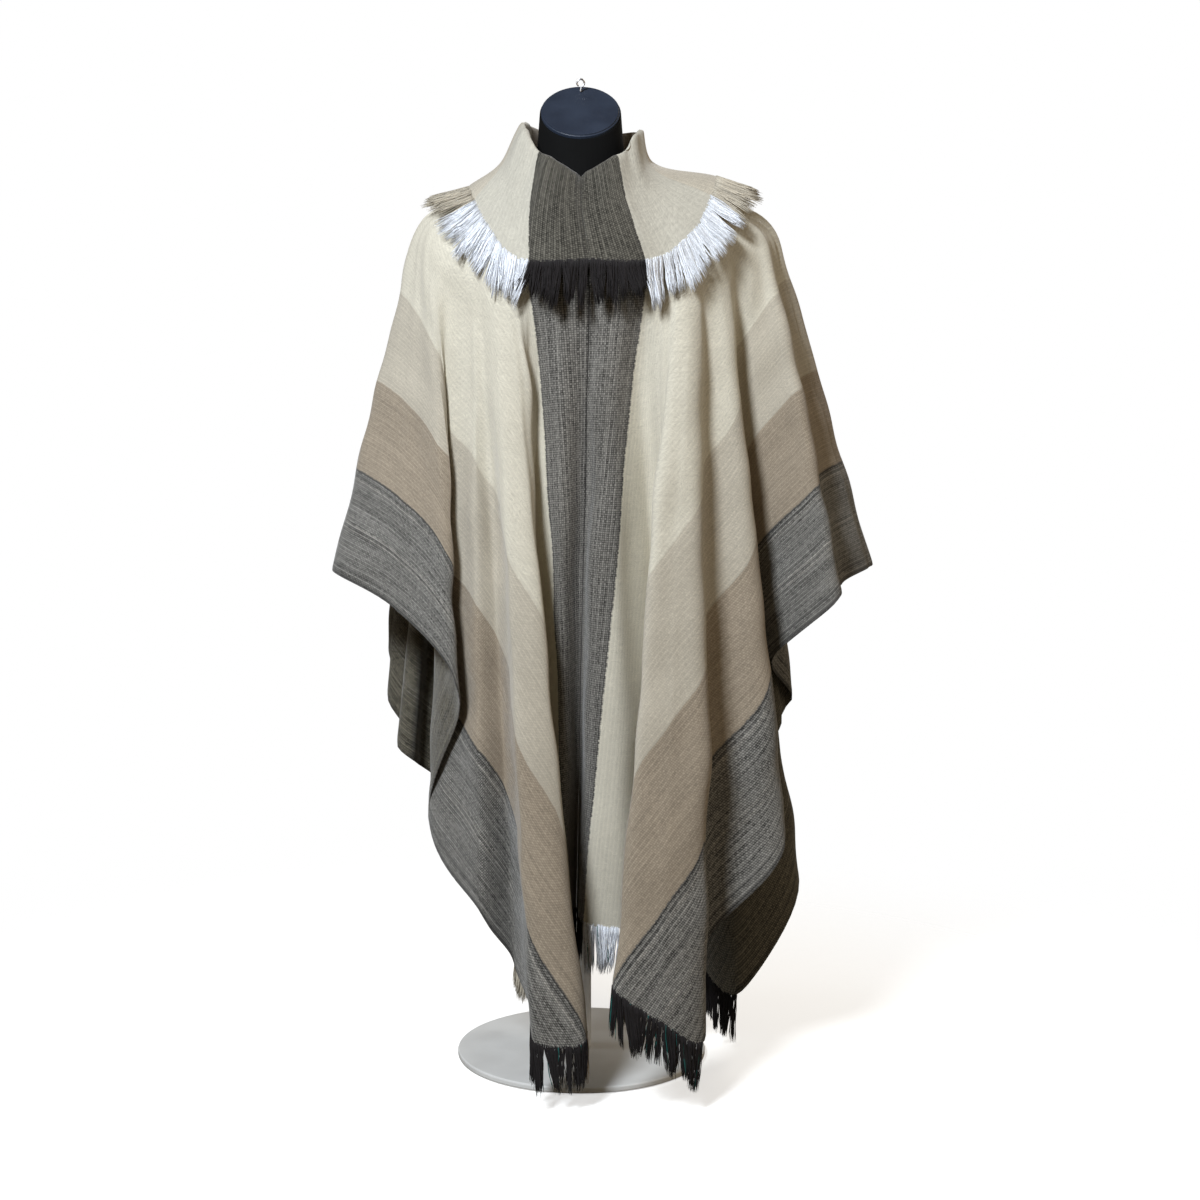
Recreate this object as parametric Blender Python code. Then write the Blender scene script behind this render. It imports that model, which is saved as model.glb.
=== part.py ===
# Andean poncho on a limbless dress form with a stand.
#
# Metres, +Z up. The front faces -Y and +X is the viewer's right, the wearer's left.
# The origin is the centre of the stand's foot, on the floor.
#
# The poncho is two woven panels joined by a seam that runs front to back, with a
# slit neck, a rolled collar and warp fringe. "Flat" places on the uncut cloth are
# given as across and along: across runs from the centre seam towards a selvedge,
# along runs from the neck, negative towards the front hem.
import math
from collections import namedtuple

import bmesh
import bpy
import numpy as np
from mathutils import Matrix, Vector

# Cloth
WALL = 0.002
SEAM_GAP = 0.0003
HEM_FRINGE = 0.062
FRINGE_WALL = 0.003
FRINGE_DROP = 0.0010
COLLAR_WALL = 0.002

# Neck seam and shoulder line of the worn cloth
NECK_X = 0.002
SHOULDER_X = 0.012
NECK_HALF = (0.080, 0.086)
NECK_HEIGHT = 1.100
NECK_DROP_FRONT = 0.016
SHOULDER_HALF = (0.214, 0.128)
SHOULDER_HEIGHT = 1.072
CHEST_DROP = 0.070
SHOULDER_ROUND = 0.042
SHOULDER_ROWS = 4
HANG_ROWS = 7
COLUMNS_PER_FOLD = 3

# Dress form and stand
NECK_RADIUS = 0.055
NECK_TOP_RADIUS = 0.050
NECK_SLOPE = 0.675
NECK_TOP = 1.195
CAP_RADIUS = 0.0485
CAP_THICKNESS = 0.0045
CAP_BEVEL = 0.0018
EYE_RADIUS = 0.0045
EYE_WIRE = 0.0012
EYE_STEM = 0.006
EYE_INSET = 0.016
EYE_TURNS = 18
POLE_RADIUS = 0.0125
FOOT_RADIUS = 0.160
FOOT_THICKNESS = 0.008
FOOT_BEVEL = 0.002
FORM_SIDES = 48

# One row for each fold line, anticlockwise from the centre front seen from above:
# its end on the edge of the flat cloth, and where that end hangs.
Fold = namedtuple("Fold", "across along x y z")
RIGHT_FRONT_HEM = [
    Fold(0.000, -0.95, -0.006, -0.060, 0.208),
    Fold(0.072, -0.95, 0.004, -0.112, 0.204),
    Fold(0.125, -0.95, 0.048, -0.124, 0.200),
    Fold(0.250, -0.95, 0.120, -0.034, 0.194),
    Fold(0.380, -0.95, 0.126, -0.146, 0.180),
    Fold(0.552, -0.95, 0.041, -0.235, 0.160),
    Fold(0.630, -0.95, 0.096, -0.242, 0.118),
    Fold(0.700, -0.95, 0.147, -0.215, 0.084),
]
RIGHT_SELVEDGE = [
    Fold(0.700, -0.84, 0.152, -0.130, 0.178),
    Fold(0.700, -0.70, 0.252, -0.110, 0.300),
    Fold(0.700, -0.49, 0.212, -0.010, 0.475),
    Fold(0.700, -0.24, 0.315, -0.095, 0.606),
    Fold(0.700, -0.12, 0.325, -0.040, 0.618),
    Fold(0.700, 0.00, 0.364, 0.020, 0.631),
    Fold(0.700, 0.16, 0.310, 0.085, 0.600),
    Fold(0.700, 0.34, 0.268, 0.122, 0.520),
    Fold(0.700, 0.50, 0.268, 0.170, 0.400),
    Fold(0.700, 0.62, 0.212, 0.112, 0.310),
    Fold(0.700, 0.74, 0.284, 0.050, 0.228),
    Fold(0.700, 0.95, 0.200, -0.018, 0.082),
]
RIGHT_BACK_HEM = [
    Fold(0.620, 0.95, 0.160, 0.055, 0.100),
    Fold(0.520, 0.95, 0.212, 0.140, 0.138),
    Fold(0.400, 0.95, 0.118, 0.125, 0.168),
    Fold(0.280, 0.95, 0.135, 0.215, 0.186),
    Fold(0.170, 0.95, 0.056, 0.150, 0.198),
    Fold(0.070, 0.95, 0.048, 0.218, 0.202),
]
LEFT_BACK_HEM = [
    Fold(0.000, 0.95, 0.000, 0.200, 0.205),
    Fold(-0.150, 0.95, -0.030, 0.260, 0.198),
    Fold(-0.320, 0.95, -0.044, 0.152, 0.180),
    Fold(-0.500, 0.95, -0.082, 0.232, 0.162),
    Fold(-0.620, 0.95, -0.068, 0.126, 0.124),
    Fold(-0.700, 0.95, -0.048, 0.062, 0.088),
]
LEFT_SELVEDGE = [
    Fold(-0.700, 0.88, -0.074, 0.078, 0.146),
    Fold(-0.700, 0.76, -0.150, 0.150, 0.215),
    Fold(-0.700, 0.57, -0.190, 0.085, 0.345),
    Fold(-0.700, 0.47, -0.238, 0.050, 0.393),
    Fold(-0.700, 0.34, -0.238, 0.082, 0.480),
    Fold(-0.700, 0.14, -0.252, 0.110, 0.600),
    Fold(-0.700, -0.02, -0.312, -0.010, 0.632),
    Fold(-0.700, -0.16, -0.226, -0.090, 0.592),
    Fold(-0.700, -0.30, -0.151, -0.142, 0.512),
    Fold(-0.700, -0.60, -0.190, -0.054, 0.310),
    Fold(-0.700, -0.78, -0.121, -0.150, 0.224),
    Fold(-0.700, -0.87, -0.080, -0.132, 0.155),
]
LEFT_FRONT_HEM = [
    Fold(-0.700, -0.95, -0.060, -0.186, 0.106),
    Fold(-0.615, -0.95, -0.056, -0.226, 0.088),
    Fold(-0.530, -0.95, 0.006, -0.216, 0.084),
    Fold(-0.450, -0.95, -0.014, -0.160, 0.135),
    Fold(-0.360, -0.95, -0.074, -0.106, 0.165),
    Fold(-0.270, -0.95, -0.070, -0.040, 0.184),
    Fold(-0.150, -0.95, -0.026, -0.100, 0.200),
]
RIGHT_FOLDS = RIGHT_FRONT_HEM + RIGHT_SELVEDGE + RIGHT_BACK_HEM
LEFT_FOLDS = LEFT_BACK_HEM + LEFT_SELVEDGE + LEFT_FRONT_HEM
FOLDS = RIGHT_FOLDS + LEFT_FOLDS
CENTRE_BACK = len(RIGHT_FOLDS)
RIGHT_FRONT_CORNER = len(RIGHT_FRONT_HEM) - 1
RIGHT_BACK_CORNER = len(RIGHT_FRONT_HEM + RIGHT_SELVEDGE) - 1
LEFT_BACK_CORNER = CENTRE_BACK + len(LEFT_BACK_HEM) - 1
LEFT_FRONT_CORNER = len(FOLDS) - len(LEFT_FRONT_HEM)

# The collar by angle round the neck, anticlockwise from the centre front (degrees):
# radius and height of its rolled top, of its waist below the roll, of its cut edge,
# and of the tips of its fringe.
CollarRow = namedtuple("CollarRow", "angle roll roll_z waist waist_z edge edge_z tip tip_z")
COLLAR = [
    CollarRow(-90, 0.076, 1.120, 0.110, 1.081, 0.148, 1.018, 0.154, 0.958),
    CollarRow(-72, 0.085, 1.132, 0.115, 1.085, 0.156, 1.016, 0.162, 0.957),
    CollarRow(-56, 0.084, 1.144, 0.108, 1.098, 0.154, 1.022, 0.164, 0.965),
    CollarRow(-38, 0.080, 1.166, 0.096, 1.120, 0.160, 1.054, 0.196, 1.012),
    CollarRow(-15, 0.074, 1.173, 0.086, 1.134, 0.158, 1.106, 0.210, 1.082),
    CollarRow(8, 0.074, 1.175, 0.086, 1.137, 0.158, 1.119, 0.210, 1.098),
    CollarRow(35, 0.076, 1.175, 0.090, 1.130, 0.158, 1.092, 0.198, 1.062),
    CollarRow(62, 0.080, 1.172, 0.100, 1.122, 0.160, 1.044, 0.172, 0.990),
    CollarRow(90, 0.080, 1.170, 0.104, 1.116, 0.160, 1.020, 0.168, 0.962),
    CollarRow(118, 0.080, 1.174, 0.102, 1.122, 0.158, 1.044, 0.170, 0.992),
    CollarRow(146, 0.076, 1.180, 0.098, 1.134, 0.152, 1.090, 0.186, 1.062),
    CollarRow(170, 0.073, 1.184, 0.100, 1.136, 0.152, 1.106, 0.190, 1.094),
    CollarRow(192, 0.073, 1.182, 0.100, 1.134, 0.148, 1.098, 0.190, 1.082),
    CollarRow(212, 0.078, 1.168, 0.100, 1.124, 0.148, 1.062, 0.182, 1.026),
    CollarRow(234, 0.084, 1.145, 0.108, 1.100, 0.154, 1.022, 0.164, 0.964),
    CollarRow(254, 0.085, 1.131, 0.114, 1.084, 0.154, 1.016, 0.160, 0.956),
]
COLLAR_FRINGE_GAP = 0.0015
COLLAR_LIFT = 0.004
COLLAR_LEAN = 0.94
COLLAR_LEAN_HEIGHT = 0.55
COLLAR_STEPS = 3
COLLAR_COLUMNS_PER_ROW = 3

# Rings of the form from the underside up: height, half width and half depth.
FormRing = namedtuple("FormRing", "z half_x half_y slope")
FORM = [
    FormRing(0.660, 0.104, 0.060, 0.0),
    FormRing(0.666, 0.112, 0.066, 0.0),
    FormRing(0.700, 0.120, 0.071, 0.0),
    FormRing(0.780, 0.130, 0.078, 0.0),
    FormRing(0.870, 0.146, 0.088, 0.0),
    FormRing(0.950, 0.158, 0.094, 0.0),
    FormRing(1.000, 0.164, 0.092, 0.0),
    FormRing(1.030, 0.158, 0.085, 0.0),
    FormRing(1.052, 0.136, 0.076, 0.0),
    FormRing(1.068, 0.102, 0.068, 0.0),
    FormRing(1.082, 0.074, 0.061, 0.0),
    FormRing(1.100, 0.060, 0.057, 0.0),
    FormRing(1.130, NECK_RADIUS, NECK_RADIUS, 0.2 * NECK_SLOPE),
    FormRing(NECK_TOP, NECK_TOP_RADIUS, NECK_TOP_RADIUS, NECK_SLOPE),
]


def clear_scene():
    for existing in list(bpy.data.objects):
        bpy.data.objects.remove(existing)


def finish(name, colour, roughness, metallic=0.0):
    material = bpy.data.materials.new(name)
    material.use_nodes = True
    shader = material.node_tree.nodes["Principled BSDF"]
    shader.inputs["Base Color"].default_value = (*colour, 1.0)
    shader.inputs["Roughness"].default_value = roughness
    shader.inputs["Metallic"].default_value = metallic
    return material


def place(name, mesh, material, smooth_angle=40):
    mesh.materials.append(material)
    mesh.shade_smooth()
    mesh.set_sharp_from_angle(angle=math.radians(smooth_angle))
    placed = bpy.data.objects.new(name, mesh)
    bpy.context.scene.collection.objects.link(placed)
    return placed


def mesh_from_faces(name, points, faces):
    mesh = bpy.data.meshes.new(name)
    mesh.from_pydata([tuple(point) for point in points], [], faces)
    tidy = bmesh.new()
    tidy.from_mesh(mesh)
    bmesh.ops.recalc_face_normals(tidy, faces=tidy.faces)
    tidy.to_mesh(mesh)
    tidy.free()
    return mesh


def oval(angle, half, centre_x):
    return np.array([centre_x + half[0] * math.cos(angle), half[1] * math.sin(angle)])


def ring_point(angle, radius, centre_x, height):
    return np.array([*oval(angle, (radius, radius), centre_x), height])


def neck_point(angle):
    front = max(0.0, -math.sin(angle))
    height = NECK_HEIGHT - NECK_DROP_FRONT * front
    return np.array([*oval(angle, NECK_HALF, NECK_X), height])


def shoulder_point(angle):
    facing = abs(math.sin(angle)) ** 1.6
    height = SHOULDER_HEIGHT - CHEST_DROP * facing
    return np.array([*oval(angle, SHOULDER_HALF, SHOULDER_X), height])


def rounded_path(neck, shoulder, tip):
    """Points from the neck over a rounded shoulder to the tip, more rows where it hangs."""
    inward = (neck - shoulder) / np.linalg.norm(neck - shoulder)
    outward = (tip - shoulder) / np.linalg.norm(tip - shoulder)
    start = shoulder + inward * SHOULDER_ROUND
    end = shoulder + outward * SHOULDER_ROUND
    points = [neck]
    for row in range(SHOULDER_ROWS):
        t = row / (SHOULDER_ROWS - 1)
        points.append((1 - t) ** 2 * start + 2 * t * (1 - t) * shoulder + t * t * end)
    for row in range(1, HANG_ROWS + 1):
        points.append(end + (tip - end) * row / HANG_ROWS)
    return np.array(points)


def fold_path(fold):
    angle = math.atan2(fold.along, fold.across)
    tip = np.array([fold.x, fold.y, fold.z])
    return rounded_path(neck_point(angle), shoulder_point(angle), tip)


def through(knots, per_knot):
    """A closed centripetal Catmull-Rom curve through the knots, as rows of points."""
    count = len(knots)
    curve = []
    for index in range(count):
        p0, p1, p2, p3 = (knots[(index + step) % count] for step in (-1, 0, 1, 2))
        t1 = np.linalg.norm(p1 - p0) ** 0.5
        t2 = t1 + np.linalg.norm(p2 - p1) ** 0.5
        t3 = t2 + np.linalg.norm(p3 - p2) ** 0.5
        for step in range(per_knot):
            t = t1 + (t2 - t1) * step / per_knot
            a1 = p0 + (p1 - p0) * t / t1
            a2 = p1 + (p2 - p1) * (t - t1) / (t2 - t1)
            a3 = p2 + (p3 - p2) * (t - t2) / (t3 - t2)
            b1 = a1 + (a2 - a1) * t / t2
            b2 = a2 + (a3 - a2) * (t - t1) / (t3 - t1)
            curve.append(b1 + (b2 - b1) * (t - t1) / (t2 - t1))
    return np.array(curve)


def stretch(grid, first, last):
    """Columns first to last of a closed grid, both ends included."""
    count = grid.shape[1]
    return grid[:, [column % count for column in range(first, last + 1)]].copy()


def open_seams(grid, gap=SEAM_GAP):
    """The grid with its two side columns drawn in by half a seam's gap."""
    drawn = grid.copy()
    for edge, neighbour in ((0, 1), (-1, -2)):
        across = grid[:, neighbour] - grid[:, edge]
        across /= np.linalg.norm(across, axis=1, keepdims=True)
        drawn[:, edge] += across * gap
    return drawn


def ring_normals(grid):
    """Normals of a grid whose columns close into a ring."""
    down = np.gradient(grid, axis=0)
    across = np.roll(grid, -1, axis=1) - np.roll(grid, 1, axis=1)
    normals = np.cross(down, across)
    return normals / np.linalg.norm(normals, axis=2, keepdims=True)


def wall_mesh(name, ring, first, last, thickness):
    """A closed wall about the ring's surface, from its column first to its column last."""
    grid = open_seams(stretch(ring, first, last))
    rows, columns = grid.shape[:2]
    offset = stretch(ring_normals(ring), first, last) * thickness / 2
    points = np.concatenate([(grid + offset).reshape(-1, 3), (grid - offset).reshape(-1, 3)])
    back = rows * columns

    def at(row, column):
        return row * columns + column

    faces = []
    for row in range(rows - 1):
        for column in range(columns - 1):
            quad = [
                at(row, column),
                at(row, column + 1),
                at(row + 1, column + 1),
                at(row + 1, column),
            ]
            faces.append(quad)
            faces.append([back + corner for corner in reversed(quad)])
    border = [at(0, column) for column in range(columns)]
    border += [at(row, columns - 1) for row in range(1, rows)]
    border += [at(rows - 1, column) for column in range(columns - 2, -1, -1)]
    border += [at(row, 0) for row in range(rows - 2, 0, -1)]
    for here, there in zip(border, border[1:] + border[:1]):
        faces.append([here, back + here, back + there, there])
    return mesh_from_faces(name, points, faces)


def poncho_grid():
    """The worn cloth's middle surface, as rows from the neck down and columns round it."""
    paths = np.array([fold_path(fold) for fold in FOLDS])
    rows = [through(paths[:, row], COLUMNS_PER_FOLD) for row in range(paths.shape[1])]
    return np.array(rows)


def hem_fringe_grid(grid):
    """A strip that hangs straight down from the hem, all round."""
    top = grid[-1] - np.array([0.0, 0.0, FRINGE_DROP])
    strip = [top - np.array([0.0, 0.0, HEM_FRINGE * part]) for part in (0.0, 0.5, 1.0)]
    return np.array(strip)


def smooth_profile(points, steps):
    """An open curve through the points, with this many steps from each to the next."""
    first = 2 * points[0] - points[1]
    last = 2 * points[-1] - points[-2]
    closed = through([first, *points, last], steps)
    return closed[steps : steps * len(points) + 1]


def collar_grids():
    """The collar's middle surface from its neck seam over the roll to its edge, and its fringe."""
    cloth_rows, fringe_rows = [], []
    for row in COLLAR:
        angle = math.radians(row.angle)
        seam = neck_point(angle) + np.array([0.0, 0.0, COLLAR_LIFT])
        lean_z = seam[2] + (row.roll_z - seam[2]) * COLLAR_LEAN_HEIGHT
        inner = ring_point(angle, row.roll * COLLAR_LEAN, NECK_X, lean_z)
        roll = ring_point(angle, row.roll, NECK_X, row.roll_z)
        waist = ring_point(angle, row.waist, NECK_X, row.waist_z)
        edge = ring_point(angle, row.edge, SHOULDER_X, row.edge_z)
        tip = ring_point(angle, row.tip, SHOULDER_X, row.tip_z)
        cloth_rows.append(smooth_profile([seam, inner, roll, waist, edge], COLLAR_STEPS))
        fringe_rows.append([edge, (edge + tip) / 2, tip])
    cloth = np.array(cloth_rows)
    fringe = np.array(fringe_rows)
    per_row = COLLAR_COLUMNS_PER_ROW
    body = np.array([through(cloth[:, row], per_row) for row in range(cloth.shape[1])])
    reach = np.array([through(fringe[:, row], per_row) for row in range(fringe.shape[1])])
    away = reach[1] - reach[0]
    away /= np.linalg.norm(away, axis=1, keepdims=True)
    reach[0] += away * COLLAR_FRINGE_GAP
    return body, reach


def build_panels(grid, panel_finish, fringe_finish):
    per = COLUMNS_PER_FOLD
    spans = {
        "panel_right": (0, CENTRE_BACK),
        "panel_left": (CENTRE_BACK, len(FOLDS)),
    }
    for name, (first, last) in spans.items():
        mesh = wall_mesh(name, grid, first * per, last * per, WALL)
        place(name, mesh, panel_finish)
    strip = hem_fringe_grid(grid)
    fringes = {
        "fringe_front_right": (0, RIGHT_FRONT_CORNER),
        "fringe_back_right": (RIGHT_BACK_CORNER, CENTRE_BACK),
        "fringe_back_left": (CENTRE_BACK, LEFT_BACK_CORNER),
        "fringe_front_left": (LEFT_FRONT_CORNER, len(FOLDS)),
    }
    for name, (first, last) in fringes.items():
        mesh = wall_mesh(name, strip, first * per, last * per, FRINGE_WALL)
        place(name, mesh, fringe_finish)


def build_collar(collar_finish, fringe_finish):
    body, reach = collar_grids()
    count = body.shape[1]
    spans = {"right": (0, count // 2), "left": (count // 2, count)}
    for side, (first, last) in spans.items():
        name = f"collar_{side}"
        place(name, wall_mesh(name, body, first, last, COLLAR_WALL), collar_finish)
        name = f"collar_fringe_{side}"
        place(name, wall_mesh(name, reach, first, last, COLLAR_WALL), fringe_finish)


def build_form(form_finish):
    """The padded body: closed rings from its flat underside to the slanted neck."""
    shape = bmesh.new()
    rings = []
    for ring in FORM:
        loop = []
        for side in range(FORM_SIDES):
            angle = 2 * math.pi * side / FORM_SIDES
            x, y = oval(angle, (ring.half_x, ring.half_y), 0.0)
            loop.append(shape.verts.new((x, y, ring.z + ring.slope * y)))
        rings.append(loop)
    for lower, upper in zip(rings, rings[1:]):
        for side in range(FORM_SIDES):
            after = (side + 1) % FORM_SIDES
            shape.faces.new((lower[side], lower[after], upper[after], upper[side]))
    shape.faces.new(list(reversed(rings[0])))
    shape.faces.new(rings[-1])
    mesh = bpy.data.meshes.new("form_torso")
    shape.to_mesh(mesh)
    shape.free()
    place("form_torso", mesh, form_finish)


def build_neck_cap(cap_finish, metal_finish):
    """A plain disc on the slanted neck, and a wire eye that stands at its rear."""
    tilt = math.atan(NECK_SLOPE)
    seat = Vector((0.0, 0.0, NECK_TOP + SEAM_GAP / math.cos(tilt)))
    slant = Matrix.Rotation(tilt, 4, "X")
    stretch_y = Matrix.Diagonal((1.0, 1.0 / math.cos(tilt), 1.0, 1.0))
    shape = bmesh.new()
    bmesh.ops.create_cone(
        shape,
        cap_ends=True,
        segments=FORM_SIDES,
        radius1=CAP_RADIUS,
        radius2=CAP_RADIUS,
        depth=CAP_THICKNESS,
    )
    top = [edge for edge in shape.edges if min(v.co.z for v in edge.verts) > 0]
    bmesh.ops.bevel(shape, geom=top, offset=CAP_BEVEL, segments=3, affect="EDGES")
    raise_up = Matrix.Translation((0.0, 0.0, CAP_THICKNESS / 2))
    shape.transform(Matrix.Translation(seat) @ slant @ stretch_y @ raise_up)
    mesh = bpy.data.meshes.new("neck_cap")
    shape.to_mesh(mesh)
    shape.free()
    place("neck_cap", mesh, cap_finish)

    rear = CAP_RADIUS / math.cos(tilt) - EYE_INSET
    root = seat + slant @ Vector((0.0, rear, CAP_THICKNESS + SEAM_GAP + EYE_WIRE))
    build_eye(root, metal_finish)


def build_eye(root, metal_finish):
    """A wire that rises as a short stem and closes into a small ring."""
    wire = bpy.data.curves.new("neck_eye", "CURVE")
    wire.dimensions = "3D"
    wire.bevel_depth = EYE_WIRE
    wire.bevel_resolution = 2
    wire.use_fill_caps = True
    points = [Vector((0.0, 0.0, 0.0)), Vector((0.0, 0.0, EYE_STEM - EYE_RADIUS))]
    for step in range(EYE_TURNS + 1):
        angle = math.radians(-70 + 310 * step / EYE_TURNS)
        x = EYE_RADIUS * math.cos(angle)
        z = EYE_STEM + EYE_RADIUS * (1 + math.sin(angle))
        points.append(Vector((x, 0.0, z)))
    line = wire.splines.new("POLY")
    line.points.add(len(points) - 1)
    for point, place_at in zip(line.points, points):
        point.co = (*place_at, 1.0)
    eye = bpy.data.objects.new("neck_eye", wire)
    eye.location = root
    bpy.context.scene.collection.objects.link(eye)
    wire.materials.append(metal_finish)


def build_stand(pole_finish):
    top = FORM[0].z - SEAM_GAP
    bottom = FOOT_THICKNESS + SEAM_GAP
    bpy.ops.mesh.primitive_cylinder_add(
        radius=POLE_RADIUS,
        depth=top - bottom,
        vertices=24,
        location=(0.0, 0.0, (top + bottom) / 2),
    )
    pole = bpy.context.object
    pole.name = "stand_pole"
    pole.data.materials.append(pole_finish)
    bpy.ops.mesh.primitive_cylinder_add(
        radius=FOOT_RADIUS,
        depth=FOOT_THICKNESS,
        vertices=64,
        location=(0.0, 0.0, FOOT_THICKNESS / 2),
    )
    foot = bpy.context.object
    foot.name = "stand_foot"
    foot.data.materials.append(pole_finish)
    rounding = foot.modifiers.new("rim", "BEVEL")
    rounding.width = FOOT_BEVEL
    rounding.segments = 2
    rounding.limit_method = "ANGLE"


clear_scene()
cloth = finish("striped_alpaca", (0.52, 0.48, 0.41), 0.9)
strands = finish("warp_fringe", (0.20, 0.19, 0.18), 0.85)
padding = finish("black_jersey", (0.012, 0.012, 0.013), 0.8)
lacquer = finish("dark_cap", (0.028, 0.036, 0.052), 0.45)
steel = finish("wire_steel", (0.55, 0.55, 0.56), 0.3, 1.0)
stand = finish("stand_white", (0.80, 0.80, 0.79), 0.4)

build_panels(poncho_grid(), cloth, strands)
build_collar(cloth, strands)
build_form(padding)
build_neck_cap(lacquer, steel)
build_stand(stand)
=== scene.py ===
import math

import bmesh
import bpy
import numpy as np
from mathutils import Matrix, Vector


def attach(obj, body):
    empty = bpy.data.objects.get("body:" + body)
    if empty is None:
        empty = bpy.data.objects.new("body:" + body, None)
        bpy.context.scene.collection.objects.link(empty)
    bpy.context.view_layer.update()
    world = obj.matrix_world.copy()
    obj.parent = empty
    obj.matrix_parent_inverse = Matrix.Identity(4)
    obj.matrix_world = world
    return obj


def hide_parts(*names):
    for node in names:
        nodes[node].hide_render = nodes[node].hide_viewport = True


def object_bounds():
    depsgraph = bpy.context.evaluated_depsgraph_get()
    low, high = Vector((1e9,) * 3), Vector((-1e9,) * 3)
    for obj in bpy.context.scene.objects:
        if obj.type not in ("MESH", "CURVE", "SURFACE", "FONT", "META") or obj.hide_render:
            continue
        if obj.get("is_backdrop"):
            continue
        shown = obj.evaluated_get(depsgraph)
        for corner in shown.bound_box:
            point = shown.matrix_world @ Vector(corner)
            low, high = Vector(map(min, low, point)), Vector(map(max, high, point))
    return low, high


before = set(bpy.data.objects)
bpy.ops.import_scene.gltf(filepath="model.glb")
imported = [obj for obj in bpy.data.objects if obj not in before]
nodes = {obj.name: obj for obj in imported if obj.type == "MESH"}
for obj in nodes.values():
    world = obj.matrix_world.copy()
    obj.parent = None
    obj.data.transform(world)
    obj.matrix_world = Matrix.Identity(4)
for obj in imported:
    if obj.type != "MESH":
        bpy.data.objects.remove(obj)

# Looks of a striped, brushed alpaca poncho on a black dress form.
# Metres, Z up, front towards -Y. The "right" pieces are on the viewer's right.
# A flat place on the uncut cloth is (across, along): across runs from the centre seam
# towards a selvedge, along runs from the neck and is negative towards the front hem.

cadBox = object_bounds()

# Where the values of a noise mostly lie
noiseSpan = (0.3, 0.7)


def feed(tree, made, inputs):
    # Link what comes from another node, and set what is a plain value
    for name, value in inputs.items():
        if isinstance(value, bpy.types.NodeSocket):
            tree.links.new(value, made.inputs[name])
        else:
            made.inputs[name].default_value = value
    return made


def addNode(tree, kind, inputs=None, **settings):
    made = tree.nodes.new("ShaderNode" + kind)
    for name, value in settings.items():
        setattr(made, name, value)
    return feed(tree, made, inputs or {})


def calc(tree, operation, first, second=0.0, third=0.0):
    inputs = {0: first, 1: second, 2: third}
    return addNode(tree, "Math", inputs, operation=operation).outputs[0]


def remap(tree, value, low, high, toLow=0.0, toHigh=1.0, smooth=False):
    inputs = {"Value": value, "From Min": low, "From Max": high, "To Min": toLow, "To Max": toHigh}
    kind = "SMOOTHSTEP" if smooth else "LINEAR"
    return addNode(tree, "MapRange", inputs, interpolation_type=kind).outputs["Result"]


def mixColour(tree, factor, first, second):
    inputs = {0: factor, 6: first, 7: second}
    return addNode(tree, "Mix", inputs, data_type="RGBA").outputs[2]


def brighten(tree, colour, tone):
    made = addNode(tree, "VectorMath", {0: colour, "Scale": tone}, operation="SCALE")
    return made.outputs[0]


def rgba(colour):
    return (*colour, 1.0)


def newMaterial(name, colour, roughness, metallic=0.0):
    material = bpy.data.materials.new(name)
    material.use_nodes = True
    shader = material.node_tree.nodes["Principled BSDF"]
    shader.inputs["Base Color"].default_value = rgba(colour)
    shader.inputs["Roughness"].default_value = roughness
    shader.inputs["Metallic"].default_value = metallic
    return material, material.node_tree, shader


def newGroup(name, inputs, outputs):
    # inputs are {name: (socket kind, default)}, outputs {name: socket kind}
    group = bpy.data.node_groups.new(name, "ShaderNodeTree")
    for label, (kind, value) in inputs.items():
        socket = group.interface.new_socket(label, in_out="INPUT", socket_type="NodeSocket" + kind)
        if value is not None:
            socket.default_value = value
    for label, kind in outputs.items():
        group.interface.new_socket(label, in_out="OUTPUT", socket_type="NodeSocket" + kind)
    entry = group.nodes.new("NodeGroupInput")
    leave = group.nodes.new("NodeGroupOutput")
    return group, entry.outputs, leave.inputs


def useGroup(tree, group, inputs):
    made = tree.nodes.new("ShaderNodeGroup")
    made.node_tree = group
    return feed(tree, made, inputs).outputs


def flatPlaces(tree, layer):
    return addNode(tree, "UVMap", uv_map=layer).outputs["UV"]


# The stripes, by distance from the centre seam in metres, and the thin lines in them.
stripes = {
    "centre": 0.072,
    "cream": 0.300,
    "beige": 0.426,
    "tan": 0.552,
    "selvedge": 0.700,
    # place, half width, lighter (+) or darker (-)
    "lines": [
        (0.0010, 0.0009, -0.30),
        (0.0700, 0.0016, -0.28),
        (0.5535, 0.0016, -0.62),
        (0.5600, 0.0013, -0.42),
        (0.5650, 0.0022, 0.16),
        (0.5960, 0.0034, -0.16),
        (0.6265, 0.0014, 0.22),
        (0.6300, 0.0013, -0.26),
        (0.6335, 0.0014, 0.20),
        (0.6860, 0.0015, -0.42),
        (0.6975, 0.0026, -0.60),
    ],
    # How far each stripe is a mixture of light and dark yarns, from the centre out
    "mixtures": (1.0, 0.0, 0.08, 0.26, 1.0),
    # How unevenly a stripe ends, and how softly
    "wander": 0.0014,
    "edgeSoftness": 0.0014,
    "darkLine": (0.012, 0.011, 0.013),
    "paleLine": (0.50, 0.47, 0.42),
}


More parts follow.
